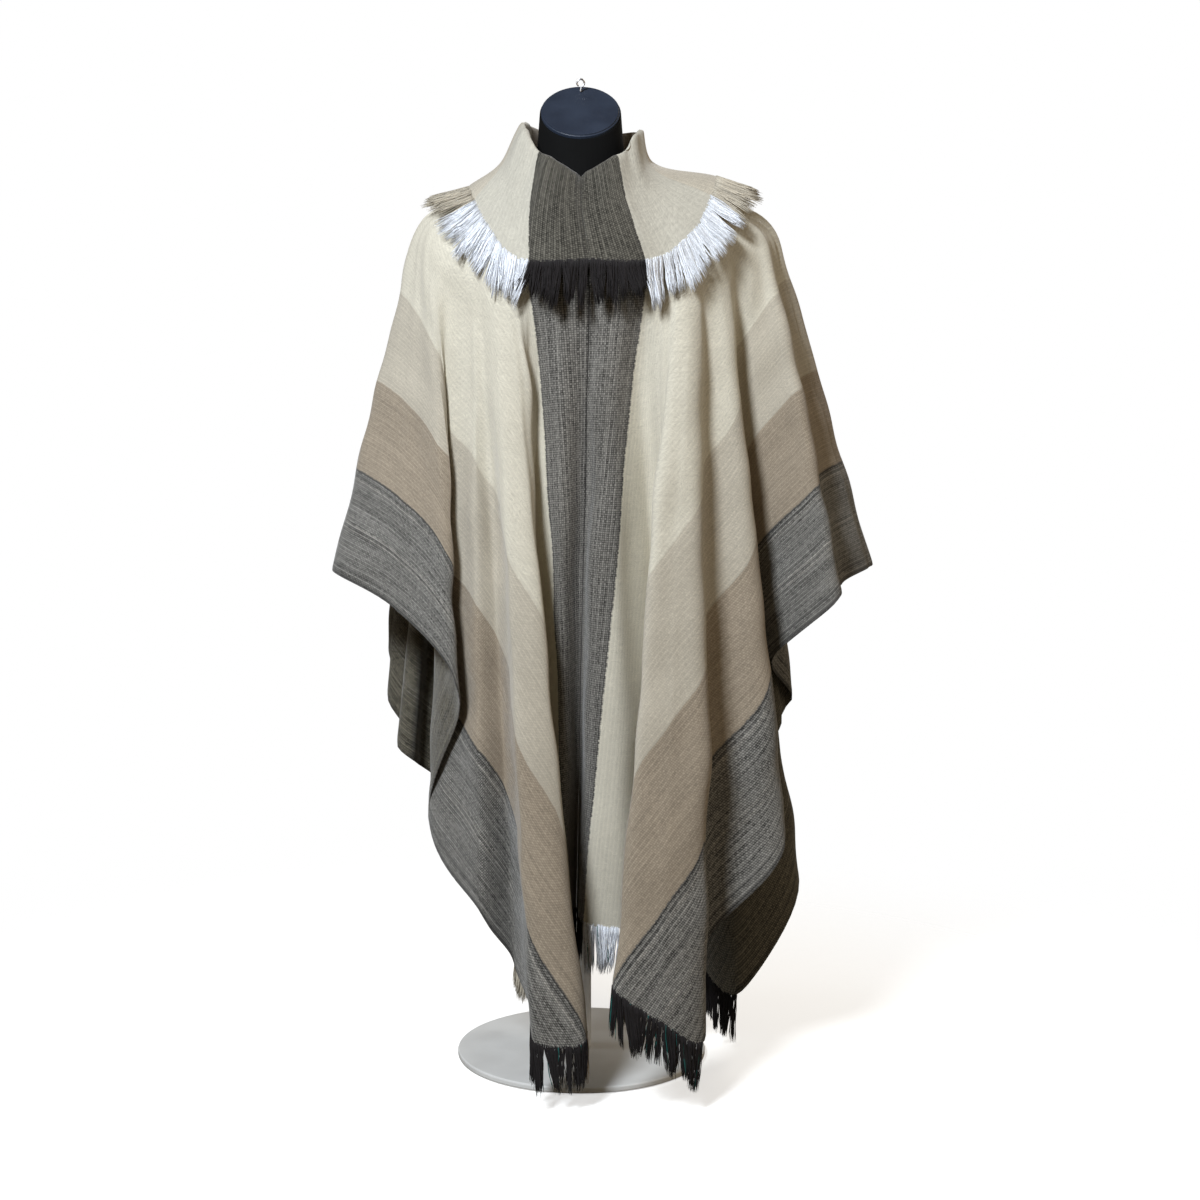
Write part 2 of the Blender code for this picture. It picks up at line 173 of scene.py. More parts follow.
def makeStripeGroup():
    # Colour of the stripe at a distance across, and how much it is a grey mixture
    inputs = {"Across": ("Float", 0.0), "Wander": ("Float", 0.0), "Line Strength": ("Float", 1.0)}
    names = ("Centre", "Cream", "Beige", "Tan", "Grey")
    inputs.update({name: ("Color", (0.5, 0.5, 0.5, 1)) for name in names})
    tree, given, out = newGroup("stripes", inputs, {"Color": "Color", "Mixture": "Float"})
    wander = calc(tree, "MULTIPLY", calc(tree, "SUBTRACT", given["Wander"], 0.5), stripes["wander"])
    across = calc(tree, "ADD", calc(tree, "ABSOLUTE", given["Across"]), wander)
    colour = given["Centre"]
    edges = (stripes["centre"], stripes["cream"], stripes["beige"], stripes["tan"])
    mixture = stripes["mixtures"][0]
    soft = stripes["edgeSoftness"]
    for edge, name, mixed in zip(edges, names[1:], stripes["mixtures"][1:]):
        step = remap(tree, across, edge - soft, edge + soft, smooth=True)
        colour = mixColour(tree, step, colour, given[name])
        kept = calc(tree, "MULTIPLY", calc(tree, "SUBTRACT", 1.0, step), mixture)
        mixture = calc(tree, "MULTIPLY_ADD", step, mixed, kept)
    lighter, darker = 0.0, 0.0
    for place, half, strength in stripes["lines"]:
        off = calc(tree, "ABSOLUTE", calc(tree, "SUBTRACT", across, place))
        on = remap(tree, off, half * 0.5, half * 1.5, abs(strength), 0.0, smooth=True)
        if strength > 0:
            lighter = calc(tree, "MAXIMUM", on, lighter)
        else:
            darker = calc(tree, "MAXIMUM", on, darker)
    darker = calc(tree, "MULTIPLY", darker, given["Line Strength"])
    lighter = calc(tree, "MULTIPLY", lighter, given["Line Strength"])
    colour = mixColour(tree, darker, colour, rgba(stripes["darkLine"]))
    colour = mixColour(tree, lighter, colour, rgba(stripes["paleLine"]))
    tree.links.new(colour, out["Color"])
    tree.links.new(mixture, out["Mixture"])
    return tree


cloth = {
    "wall": 0.0021,
    "seamGap": 0.0003,
    "centreColour": (0.165, 0.158, 0.146),
    "creamColour": (0.665, 0.628, 0.528),
    "beigeColour": (0.520, 0.476, 0.395),
    "tanColour": (0.350, 0.293, 0.226),
    "greyColour": (0.185, 0.180, 0.168),
    "wrongSideColour": (0.60, 0.56, 0.46),
    "edgeThinning": 0.45,
    "sharpFrom": 60,
    "yarnWidth": 0.0026,
    "stir": 0.0016,
    "stirsPerMetre": 60.0,
    # Brightness of a dot where the weft lies over the warp
    "weftDots": 0.72,
    # Streaks for each yarn across, and for each metre along
    "streaks": (0.7, 6.0),
    "hairLength": 0.0085,
    "hairsPerMetre": 430.0,
    "hairSlant": 0.6,
    # For each layer of hairs: turn of its slant, and how much finer it is
    "hairLayers": ((1.0, 1.0), (-0.8, 1.35)),
    "hairShares": (0.62, 0.38),
    # Noise values between which a hair starts and is full
    "hairSpan": (0.34, 0.66),
    "hairTurnsPerMetre": 26.0,
    "cloudsPerMetre": 14.0,
    "cloudTone": (0.965, 1.035),
    # Middle value, then depth in the pale stripes and in the mixtures
    "tones": {
        "Mesh": (0.35, 0.045, 1.45),
        "Speckle": (0.5, 0.05, 0.62),
        "Streak": (0.5, 0.05, 0.62),
        "Rib": (0.5, 0.07, 0.32),
        "Hair": (0.5, 0.30, 0.12),
    },
    "roughness": (0.86, 0.97),
    # Share of the weave and of the hairs in the relief, then its strength and depth
    "relief": (0.35, 0.6, 0.5, 0.0006),
    "sheen": 0.30,
    "sheenRoughness": 0.5,
    "specular": 0.12,
    # Ripples are a sum of waves with lengths between these
    "rippleWaves": 14,
    "rippleLengths": (0.05, 0.16),
    # Strength of the thin lines on the wrong side
    "wrongSideLines": 0.5,
}


def makeWeaveGroup():
    # Plain weave from flat places in metres: ribs, a mesh of dots, and long streaks
    inputs = {"Flat": ("Vector", None), "Yarn Width": ("Float", 0.002), "Stir": ("Float", 0.001)}
    outputs = {"Rib": "Float", "Mesh": "Float", "Speckle": "Float", "Streak": "Float"}
    tree, given, out = newGroup("warpWeave", inputs, outputs)
    places = addNode(tree, "SeparateXYZ", {0: given["Flat"]}).outputs
    noise = addNode(tree, "TexNoise", {"Vector": given["Flat"], "Scale": cloth["stirsPerMetre"],
                                       "Detail": 1.0})
    shift = calc(tree, "MULTIPLY", calc(tree, "SUBTRACT", noise.outputs["Fac"], 0.5), given["Stir"])
    across = calc(tree, "DIVIDE", calc(tree, "ADD", places[0], shift), given["Yarn Width"])
    along = calc(tree, "DIVIDE", calc(tree, "ADD", places[1], shift), given["Yarn Width"])
    column, row = calc(tree, "FLOOR", across), calc(tree, "FLOOR", along)
    over = calc(tree, "PINGPONG", calc(tree, "ADD", column, row), 1.0)
    waves = [calc(tree, "SINE", calc(tree, "MULTIPLY", value, math.pi)) for value in (across, along)]
    swell = calc(tree, "ABSOLUTE", calc(tree, "MULTIPLY", *waves))
    mesh = calc(tree, "MULTIPLY", swell, remap(tree, over, 0, 1, cloth["weftDots"], 1.0))
    tree.links.new(mesh, out["Mesh"])
    tree.links.new(remap(tree, waves[0], -1, 1), out["Rib"])
    cell = addNode(tree, "CombineXYZ", {0: column, 1: row})
    speckle = addNode(tree, "TexWhiteNoise", {"Vector": cell.outputs[0]}, noise_dimensions="2D")
    tree.links.new(speckle.outputs["Value"], out["Speckle"])
    perYarn, perMetre = cloth["streaks"]
    longPlace = addNode(tree, "CombineXYZ", {0: calc(tree, "MULTIPLY", across, perYarn),
                                             1: calc(tree, "MULTIPLY", places[1], perMetre)})
    streak = addNode(tree, "TexNoise", {"Vector": longPlace.outputs[0], "Scale": 1.0,
                                        "Detail": 2.0})
    tree.links.new(remap(tree, streak.outputs["Fac"], *noiseSpan), out["Streak"])
    return tree


def makeNapGroup():
    # Brushed hairs that lie over the weave in two slanting directions
    inputs = {
        "Flat": ("Vector", None),
        "Hair Length": ("Float", 0.010),
        "Hairs Per Metre": ("Float", 400.0),
        "Slant": ("Float", 0.5),
    }
    tree, given, out = newGroup("brushedNap", inputs, {"Hair": "Float", "Cloud": "Float"})
    stir = addNode(tree, "TexNoise", {"Vector": given["Flat"], "Scale": cloth["hairTurnsPerMetre"],
                                      "Detail": 2.0})
    turned = calc(tree, "ADD", given["Slant"], calc(tree, "SUBTRACT", stir.outputs["Fac"], 0.5))
    found = []
    for sign, fine in cloth["hairLayers"]:
        angle = calc(tree, "MULTIPLY", turned, sign)
        spun = addNode(tree, "VectorRotate", {"Vector": given["Flat"], "Angle": angle},
                       rotation_type="Z_AXIS").outputs[0]
        parts = addNode(tree, "SeparateXYZ", {0: spun}).outputs
        lengthwise = calc(tree, "DIVIDE", parts[1], given["Hair Length"])
        perMetre = calc(tree, "MULTIPLY", given["Hairs Per Metre"], fine)
        crosswise = calc(tree, "MULTIPLY", parts[0], perMetre)
        place = addNode(tree, "CombineXYZ", {0: crosswise, 1: lengthwise}).outputs[0]
        hairs = addNode(tree, "TexNoise", {"Vector": place, "Scale": 1.0, "Detail": 2.0})
        found.append(remap(tree, hairs.outputs["Fac"], *cloth["hairSpan"]))
    most, least = cloth["hairShares"]
    hair = calc(tree, "MULTIPLY_ADD", found[0], most, calc(tree, "MULTIPLY", found[1], least))
    cloud = addNode(tree, "TexNoise", {"Vector": given["Flat"], "Scale": cloth["cloudsPerMetre"],
                                       "Detail": 3.0})
    tree.links.new(hair, out["Hair"])
    tree.links.new(remap(tree, cloud.outputs["Fac"], *noiseSpan), out["Cloud"])
    return tree


def clothMaterial(name, groups, tint=(1.0, 1.0, 1.0), lineStrength=1.0, **changed):
    material, tree, shader = newMaterial(name, cloth["creamColour"], cloth["roughness"][1])
    flat = flatPlaces(tree, "flat")
    bands = addNode(tree, "SeparateXYZ", {0: flatPlaces(tree, "bands")}).outputs
    weave = useGroup(tree, groups["weave"], {"Flat": flat, "Yarn Width": cloth["yarnWidth"],
                                             "Stir": cloth["stir"]})
    nap = useGroup(tree, groups["nap"], {"Flat": flat, "Hair Length": cloth["hairLength"],
                                         "Hairs Per Metre": cloth["hairsPerMetre"],
                                         "Slant": cloth["hairSlant"]})
    shades = {}
    for label in ("Centre", "Cream", "Beige", "Tan", "Grey"):
        colour = changed.get(label, cloth[label.lower() + "Colour"])
        shades[label] = rgba([part * share for part, share in zip(colour, tint)])
    band = useGroup(tree, groups["stripes"], {"Across": bands[0], "Wander": weave["Speckle"],
                                              "Line Strength": lineStrength, **shades})
    # Light and dark yarns show in the mixtures, ribs and brushed hairs in the pale stripes
    mixture = band["Mixture"]
    tone = 1.0
    for label, (middle, pale, mixed) in cloth["tones"].items():
        value = nap["Hair"] if label == "Hair" else weave[label]
        depth = remap(tree, mixture, 0, 1, pale, mixed)
        tone = calc(tree, "MULTIPLY_ADD", calc(tree, "SUBTRACT", value, middle), depth, tone)
    tone = calc(tree, "MULTIPLY", tone, remap(tree, nap["Cloud"], 0, 1, *cloth["cloudTone"]))
    tree.links.new(brighten(tree, band["Color"], tone), shader.inputs["Base Color"])
    rough = remap(tree, nap["Hair"], 0, 1, *cloth["roughness"])
    tree.links.new(rough, shader.inputs["Roughness"])
    fromWeave, fromHair, strength, deep = cloth["relief"]
    hairHeight = calc(tree, "MULTIPLY", nap["Hair"], fromHair)
    height = calc(tree, "MULTIPLY_ADD", weave["Mesh"], fromWeave, hairHeight)
    bump = addNode(tree, "Bump", {"Height": height, "Strength": strength, "Distance": deep})
    tree.links.new(bump.outputs[0], shader.inputs["Normal"])
    shader.inputs["Sheen Weight"].default_value = cloth["sheen"]
    shader.inputs["Sheen Roughness"].default_value = cloth["sheenRoughness"]
    shader.inputs["Specular IOR Level"].default_value = cloth["specular"]
    return material


support = {
    "finishes": {
        "blackJersey": {"colour": (0.0035, 0.0036, 0.0038), "roughness": 0.9, "spread": 0.06,
                        "grain": 1400.0, "specular": 0.15},
        "navyCap": {"colour": (0.016, 0.025, 0.046), "roughness": 0.55, "grain": 2400.0},
        "eyeSteel": {"colour": (0.58, 0.58, 0.60), "roughness": 0.28, "metallic": 1.0},
        "standPaint": {"colour": (0.80, 0.80, 0.79), "roughness": 0.42, "paler": 1.06},
    },
    "finishOf": {
        "form_torso": "blackJersey",
        "neck_cap": "navyCap",
        "neck_eye": "eyeSteel",
        "stand_pole": "standPaint",
        "stand_foot": "standPaint",
    },
    "patchesPerMetre": 22.0,
    "patchSpan": (0.35, 0.65),
    "grainStrength": 0.35,
    "grainDepth": 0.0003,
}


def makeWearGroup():
    # Fine grain and patchy wear for the hard pieces
    inputs = {"Grain Scale": ("Float", 900.0), "Patch Scale": ("Float", 22.0)}
    tree, given, out = newGroup("grainAndWear", inputs, {"Grain": "Float", "Patches": "Float"})
    where = addNode(tree, "TexCoord").outputs["Object"]
    grain = addNode(tree, "TexNoise", {"Vector": where, "Scale": given["Grain Scale"],
                                       "Detail": 2.0})
    patch = addNode(tree, "TexNoise", {"Vector": where, "Scale": given["Patch Scale"],
                                       "Detail": 4.0})
    tree.links.new(grain.outputs["Fac"], out["Grain"])
    tree.links.new(remap(tree, patch.outputs["Fac"], *support["patchSpan"]), out["Patches"])
    return tree


def hardMaterial(name, groups, colour, roughness, metallic=0.0, spread=0.1, grain=900.0,
                 paler=1.25, specular=0.5):
    material, tree, shader = newMaterial(name, colour, roughness, metallic)
    wear = useGroup(tree, groups["wear"], {"Grain Scale": grain,
                                           "Patch Scale": support["patchesPerMetre"]})
    shade = mixColour(tree, wear["Patches"], rgba(colour), rgba([part * paler for part in colour]))
    tree.links.new(shade, shader.inputs["Base Color"])
    rough = remap(tree, wear["Patches"], 0, 1, roughness - spread, roughness + spread)
    tree.links.new(rough, shader.inputs["Roughness"])
    bump = addNode(tree, "Bump", {"Height": wear["Grain"], "Strength": support["grainStrength"],
                                  "Distance": support["grainDepth"]})
    tree.links.new(bump.outputs[0], shader.inputs["Normal"])
    shader.inputs["Specular IOR Level"].default_value = specular
    return material


def refinish(name, material):
    carried = nodes[name]
    for index in range(len(carried.material_slots)):
        carried.material_slots[index].link = "OBJECT"
        carried.material_slots[index].material = material


def finishSupport(groups):
    finishes = {name: hardMaterial(name, groups, **look)
                for name, look in support["finishes"].items()}
    for node, finish in support["finishOf"].items():
        refinish(node, finishes[finish])


studio = {
    "eye": (0.024, -3.0, 1.03),
    "tiltDown": 8.3,
    "lens": 72.0,
    "aimHeight": 0.75,
    "floorRadius": 1.2,
    "floorFade": (0.2, 1.1),
    "floorColour": (0.92, 0.92, 0.91),
    "floorForCloth": (0.20, 0.18, 0.15),
    "floorGlow": 0.58,
    "floorRoughness": 0.8,
    "floorSpecular": 0.1,
    "floorBelow": 0.001,
    "skyForCamera": 1.0,
    "skyForCloth": 0.13,
    "skyColour": (1.0, 0.80, 0.54),
    # name, place, width, watts, colour
    "lamps": [
        ("window", (-1.0, -2.2, 2.5), 0.7, 95, (0.89, 0.945, 1.0)),
        ("bounce", (2.6, -1.2, 2.1), 2.0, 15, (1.0, 0.86, 0.68)),
        ("edge", (-2.6, 0.1, 1.7), 0.9, 7, (0.84, 0.92, 1.0)),
        ("back", (1.0, 2.6, 2.2), 2.0, 30, (1.0, 0.95, 0.88)),
    ],
}


def floorMaterial():
    # Pale to the eye, dim to the cloth above it
    material, tree, shader = newMaterial("paleFloor", studio["floorColour"], studio["floorRoughness"])
    shader.inputs["Specular IOR Level"].default_value = studio["floorSpecular"]
    seen = addNode(tree, "LightPath").outputs["Is Camera Ray"]
    shade = mixColour(tree, seen, rgba(studio["floorForCloth"]), rgba(studio["floorColour"]))
    tree.links.new(shade, shader.inputs["Base Color"])
    glow = mixColour(tree, seen, (0, 0, 0, 1), (1, 1, 1, 1))
    tree.links.new(glow, shader.inputs["Emission Color"])
    shader.inputs["Emission Strength"].default_value = studio["floorGlow"]
    where = addNode(tree, "TexCoord").outputs["Object"]
    away = addNode(tree, "VectorMath", {0: where}, operation="LENGTH").outputs["Value"]
    fade = remap(tree, away, *studio["floorFade"], 1.0, 0.0, smooth=True)
    tree.links.new(fade, shader.inputs["Alpha"])
    return material


def buildStudio():
    scene = bpy.context.scene
    scene.view_settings.view_transform = "Standard"
    view = bpy.data.cameras.new("view")
    view.lens = studio["lens"]
    view.sensor_width = 36.0
    camera = bpy.data.objects.new("view", view)
    camera.location = studio["eye"]
    camera.rotation_euler = (math.radians(90 - studio["tiltDown"]), 0, 0)
    scene.collection.objects.link(camera)
    scene.camera = camera
    for name, place, width, watts, colour in studio["lamps"]:
        lamp = bpy.data.lights.new(name, "AREA")
        lamp.shape = "DISK"
        lamp.size = width
        lamp.energy = watts
        lamp.color = colour
        holder = bpy.data.objects.new(name, lamp)
        holder.location = place
        aim = Vector((0, 0, studio["aimHeight"])) - Vector(place)
        holder.rotation_euler = aim.to_track_quat("-Z", "Y").to_euler()
        scene.collection.objects.link(holder)
    sky = bpy.data.worlds.new("softSky")
    scene.world = sky
    sky.use_nodes = True
    tree = sky.node_tree
    tree.nodes.clear()
    seen = addNode(tree, "Background", {"Color": (1, 1, 1, 1), "Strength": studio["skyForCamera"]})
    lit = addNode(tree, "Background", {"Color": rgba(studio["skyColour"]),
                                       "Strength": studio["skyForCloth"]})
    ray = addNode(tree, "LightPath").outputs["Is Camera Ray"]
    either = addNode(tree, "MixShader", {0: ray, 1: lit.outputs[0], 2: seen.outputs[0]})
    addNode(tree, "OutputWorld", {0: either.outputs[0]})
    shape = bmesh.new()
    bmesh.ops.create_circle(shape, cap_ends=True, radius=studio["floorRadius"], segments=96)
    mesh = bpy.data.meshes.new("floor")
    shape.to_mesh(mesh)
    shape.free()
    mesh.materials.append(floorMaterial())
    floor = bpy.data.objects.new("floor", mesh)
    floor.location.z = -studio["floorBelow"]
    scene.collection.objects.link(floor)
    floor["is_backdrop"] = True


def unit(vectors):
    return vectors / np.maximum(np.linalg.norm(vectors, axis=-1, keepdims=True), 1e-12)


def ovalPoint(angle, half, centreX, height):
    return np.array([centreX + half[0] * math.cos(angle), half[1] * math.sin(angle), height])


def throughKnots(knots, perKnot):
    # Closed centripetal Catmull-Rom curves: knots is (rows, knots, 3)
    count = knots.shape[1]
    columns = []
    for index in range(count):
        p0, p1, p2, p3 = (knots[:, (index + step) % count] for step in (-1, 0, 1, 2))
        t1 = np.linalg.norm(p1 - p0, axis=1, keepdims=True) ** 0.5
        t2 = t1 + np.linalg.norm(p2 - p1, axis=1, keepdims=True) ** 0.5
        t3 = t2 + np.linalg.norm(p3 - p2, axis=1, keepdims=True) ** 0.5
        for step in range(perKnot):
            t = t1 + (t2 - t1) * step / perKnot
            a1 = p0 + (p1 - p0) * t / t1
            a2 = p1 + (p2 - p1) * (t - t1) / (t2 - t1)
            a3 = p2 + (p3 - p2) * (t - t2) / (t3 - t2)
            b1 = a1 + (a2 - a1) * t / t2
            b2 = a2 + (a3 - a2) * (t - t1) / (t3 - t1)
            columns.append(b1 + (b2 - b1) * (t - t1) / (t2 - t1))
    return np.stack(columns, axis=1)


def ringPart(values, first, last):
    count = values.shape[1]
    return values[:, [column % count for column in range(first, last + 1)]]


def ringNormals(grid):
    down = np.gradient(grid, axis=0)
    across = np.roll(grid, -1, axis=1) - np.roll(grid, 1, axis=1)
    return unit(np.cross(down, across))


def ripples(places, seed):
    # Small unevenness of hanging cloth
    draw = np.random.default_rng(seed)
    total = np.zeros(places.shape[:-1])
    waves = cloth["rippleWaves"]
    for _ in range(waves):
        wave = draw.uniform(*cloth["rippleLengths"])
        turn = draw.uniform(0, math.pi)
        aim = np.array([math.cos(turn), math.sin(turn)]) * 2 * math.pi / wave
        total += np.sin(places @ aim + draw.uniform(0, 2 * math.pi))
    return total / math.sqrt(waves)


def drawIn(grid):
    # Half a seam's gap at each side column
    drawn = grid.copy()
    for edge, neighbour in ((0, 1), (-1, -2)):
        drawn[:, edge] += unit(grid[:, neighbour] - grid[:, edge]) * cloth["seamGap"]
    return drawn


def meshFrom(name, points, quads, layers, materials, quadMaterial=None):
    mesh = bpy.data.meshes.new(name)
    quads = np.asarray(quads, np.int32)
    sides = quads.shape[1]
    mesh.vertices.add(len(points))
    mesh.vertices.foreach_set("co", np.asarray(points, np.float32).ravel())
    mesh.loops.add(quads.size)
    mesh.loops.foreach_set("vertex_index", quads.ravel())
    mesh.polygons.add(len(quads))
    mesh.polygons.foreach_set("loop_start", np.arange(0, quads.size, sides, dtype=np.int32))
    for material in materials:
        mesh.materials.append(material)
    if quadMaterial is not None:
        mesh.polygons.foreach_set("material_index", np.asarray(quadMaterial, np.int32))
    mesh.update(calc_edges=True)
    mesh.validate()
    for label, values in layers.items():
        layer = mesh.uv_layers.new(name=label)
        layer.uv.foreach_set("vector", np.asarray(values, np.float32)[quads.ravel()].ravel())
    mesh.shade_smooth()
    return mesh


def addPiece(name, mesh, slot, *replaced):
    made = bpy.data.objects.new(name, mesh)
    bpy.context.scene.collection.objects.link(made)
    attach(made, "root")
    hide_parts(*replaced)
    return made


def clothWall(name, grid, first, last, thickness, flat, bands, materials):
    # A closed cloth wall about the middle surface, thinner at its edges
    normals = ringPart(ringNormals(grid), first, last)
    middle = drawIn(ringPart(grid, first, last))
    rows, columns = middle.shape[:2]
    taper = np.ones((rows, columns))
    taper[[0, -1], :] = cloth["edgeThinning"]
    taper[:, [0, -1]] = cloth["edgeThinning"]
    offset = normals * (thickness / 2 * taper)[..., None]
    points = np.concatenate([(middle + offset).reshape(-1, 3), (middle - offset).reshape(-1, 3)])
    back = rows * columns
    at = np.arange(back).reshape(rows, columns)
    front = np.stack([at[:-1, :-1], at[1:, :-1], at[1:, 1:], at[:-1, 1:]], axis=-1).reshape(-1, 4)
    border = np.concatenate([at[0, :-1], at[:-1, -1], at[-1, :0:-1], at[:0:-1, 0]])
    after = np.roll(border, -1)
    rim = np.stack([border, after, back + after, back + border], axis=1)
    quads = np.concatenate([front, back + front[:, ::-1], rim])
    kinds = np.concatenate([np.zeros(len(front)), np.ones(len(front)), np.zeros(len(rim))])
    layers = {"flat": flat, "bands": bands}
    layers = {label: np.tile(values.reshape(-1, 2), (2, 1)) for label, values in layers.items()}
    mesh = meshFrom(name, points, quads, layers, materials, kinds)
    mesh.set_sharp_from_angle(angle=math.radians(cloth["sharpFrom"]))
    return mesh


poncho = {
    "panelCut": (0.70, 1.90),
    "neckX": 0.002,
    "shoulderX": 0.012,
    "neckHalf": (0.080, 0.086),
    # The slit on the flat cloth: half width, how fast it widens at each side, half length.
    "slit": (0.066, 1.5, 2.0, 0.100),
    # How the stripes sit on the left front: from across, to across.
    "leftFrontSlide": (
        (0.0, 0.15, 0.27, 0.36, 0.45, 0.53, 0.70),
        (0.0, 0.085, 0.24, 0.39, 0.495, 0.562, 0.70),
    ),
    "neckHeight": 1.100,
    "neckDropFront": 0.016,
    "shoulderHalf": (0.214, 0.128),
    "shoulderHeight": 1.072,
    "chestDrop": 0.070,
    "chestFall": 1.6,
    "shoulderRound": 0.042,
    "neckRows": 6,
    "shoulderRows": 16,
    "hangRows": 92,
    "columnsPerFold": 12,
    # Each fold's end on the edge of the flat cloth, and where that end hangs:
    # across, along, x, y, z, anticlockwise from the centre front.
    "rightFrontHem": [
        (0.000, -0.95, -0.006, -0.060, 0.208),
        (0.072, -0.95, 0.004, -0.112, 0.204),
        (0.125, -0.95, 0.048, -0.124, 0.200),
        (0.250, -0.95, 0.120, -0.034, 0.194),
        (0.380, -0.95, 0.126, -0.146, 0.180),
        (0.552, -0.95, 0.041, -0.235, 0.160),
        (0.630, -0.95, 0.096, -0.242, 0.118),
        (0.700, -0.95, 0.147, -0.215, 0.084),
    ],
    "rightSelvedge": [
        (0.700, -0.84, 0.152, -0.130, 0.178),
        (0.700, -0.70, 0.252, -0.110, 0.300),
        (0.700, -0.49, 0.212, -0.010, 0.475),
        (0.700, -0.24, 0.315, -0.095, 0.606),
        (0.700, -0.12, 0.325, -0.040, 0.618),
        (0.700, 0.00, 0.364, 0.020, 0.631),
        (0.700, 0.16, 0.310, 0.085, 0.600),
        (0.700, 0.34, 0.268, 0.122, 0.520),
        (0.700, 0.50, 0.268, 0.170, 0.400),
        (0.700, 0.62, 0.212, 0.112, 0.310),
        (0.700, 0.74, 0.284, 0.050, 0.228),
        (0.700, 0.95, 0.200, -0.018, 0.082),
    ],
    "rightBackHem": [
        (0.620, 0.95, 0.160, 0.055, 0.100),
        (0.520, 0.95, 0.212, 0.140, 0.138),
        (0.400, 0.95, 0.118, 0.125, 0.168),
        (0.280, 0.95, 0.135, 0.215, 0.186),
        (0.170, 0.95, 0.056, 0.150, 0.198),
        (0.070, 0.95, 0.048, 0.218, 0.202),
    ],
    "leftBackHem": [
        (0.000, 0.95, 0.000, 0.200, 0.205),
        (-0.150, 0.95, -0.030, 0.260, 0.198),
        (-0.320, 0.95, -0.044, 0.152, 0.180),
        (-0.500, 0.95, -0.082, 0.232, 0.162),
        (-0.620, 0.95, -0.068, 0.126, 0.124),
        (-0.700, 0.95, -0.048, 0.062, 0.088),
    ],
    "leftSelvedge": [
        (-0.700, 0.88, -0.074, 0.078, 0.146),
        (-0.700, 0.76, -0.150, 0.150, 0.215),
        (-0.700, 0.57, -0.190, 0.085, 0.345),
        (-0.700, 0.47, -0.238, 0.050, 0.393),
        (-0.700, 0.34, -0.238, 0.082, 0.480),
        (-0.700, 0.14, -0.252, 0.110, 0.600),
        (-0.700, -0.02, -0.312, -0.010, 0.632),
        (-0.700, -0.16, -0.226, -0.090, 0.592),
        (-0.700, -0.30, -0.151, -0.142, 0.512),
        (-0.700, -0.60, -0.190, -0.054, 0.310),
        (-0.700, -0.78, -0.121, -0.150, 0.224),
        (-0.700, -0.87, -0.080, -0.132, 0.155),
    ],
    "leftFrontHem": [
        (-0.700, -0.95, -0.060, -0.186, 0.106),
        (-0.615, -0.95, -0.056, -0.226, 0.088),
        (-0.530, -0.95, 0.006, -0.216, 0.084),
        (-0.450, -0.95, -0.014, -0.160, 0.135),
        (-0.360, -0.95, -0.074, -0.106, 0.165),
        (-0.270, -0.95, -0.070, -0.040, 0.184),
        (-0.150, -0.95, -0.026, -0.100, 0.200),
    ],
    # Soft creases, from one flat place to another: across, along, across, along,
    # half width, height (+ ridge, - trough).
    "creases": [
        (0.060, -0.24, 0.120, -0.70, 0.022, -0.0051),
        (0.150, -0.20, 0.330, -0.62, 0.026, 0.0058),
        (0.220, -0.16, 0.560, -0.46, 0.024, -0.0058),
        (0.200, -0.06, 0.600, -0.16, 0.030, 0.0051),
        (0.300, -0.02, 0.640, -0.05, 0.022, -0.0043),
        (0.180, 0.08, 0.560, 0.24, 0.030, 0.0058),
        (0.150, 0.20, 0.420, 0.66, 0.026, -0.0065),
        (0.060, 0.26, 0.150, 0.74, 0.024, 0.0058),
        (0.350, 0.30, 0.600, 0.62, 0.022, 0.0043),
        (0.400, -0.50, 0.560, -0.80, 0.020, 0.0043),
        (-0.040, -0.22, -0.060, -0.60, 0.020, 0.0029),
        (-0.110, -0.22, -0.230, -0.66, 0.024, 0.0058),
        (-0.200, -0.20, -0.420, -0.60, 0.022, -0.0043),
        (-0.190, -0.10, -0.560, -0.26, 0.028, 0.0058),
        (-0.240, -0.02, -0.620, -0.06, 0.026, -0.0051),
        (-0.200, 0.08, -0.580, 0.18, 0.026, 0.0051),
        (-0.160, 0.18, -0.460, 0.50, 0.028, -0.0065),
        (-0.090, 0.24, -0.200, 0.72, 0.026, 0.0065),
        (-0.280, 0.36, -0.560, 0.74, 0.022, 0.0043),
        (0.090, -0.16, 0.640, -0.86, 0.016, 0.0060),
        (0.130, -0.16, 0.660, -0.72, 0.018, -0.0055),
        (0.130, -0.12, 0.680, -0.64, 0.016, 0.0055),
        (0.170, -0.12, 0.680, -0.46, 0.018, -0.0060),
        (0.040, -0.18, 0.200, -0.90, 0.016, 0.0045),
        (0.220, -0.08, 0.660, -0.22, 0.016, 0.0045),
        (-0.080, -0.18, -0.420, -0.88, 0.016, 0.0045),
        (-0.130, -0.15, -0.660, -0.66, 0.018, -0.0050),
        (-0.160, -0.12, -0.660, -0.40, 0.016, 0.0050),
        (-0.340, -0.56, -0.500, -0.86, 0.018, -0.0036),
    ],
    # Share of a crease's swell cut off at each end, and how round its fade is
    "creaseBlunt": 0.05,
    "creaseFade": 0.7,
    "ripple": 0.0015,
    "rippleSeed": 5,
    # Share of each fold's length, from the neck down, over which creases set in
    "calmShare": 0.2,
    # Folds between the main ones take up spare cloth: most height, and share in front
    # and behind.
    "slackMost": 0.014,
    "slackFront": 0.12,
    "slackBack": 1.0,
    "backFrom": 0.02,  # y where the back of the cloth starts
}


def neckPoint(angle):
    height = poncho["neckHeight"] - poncho["neckDropFront"] * max(0.0, -math.sin(angle))
    return ovalPoint(angle, poncho["neckHalf"], poncho["neckX"], height)


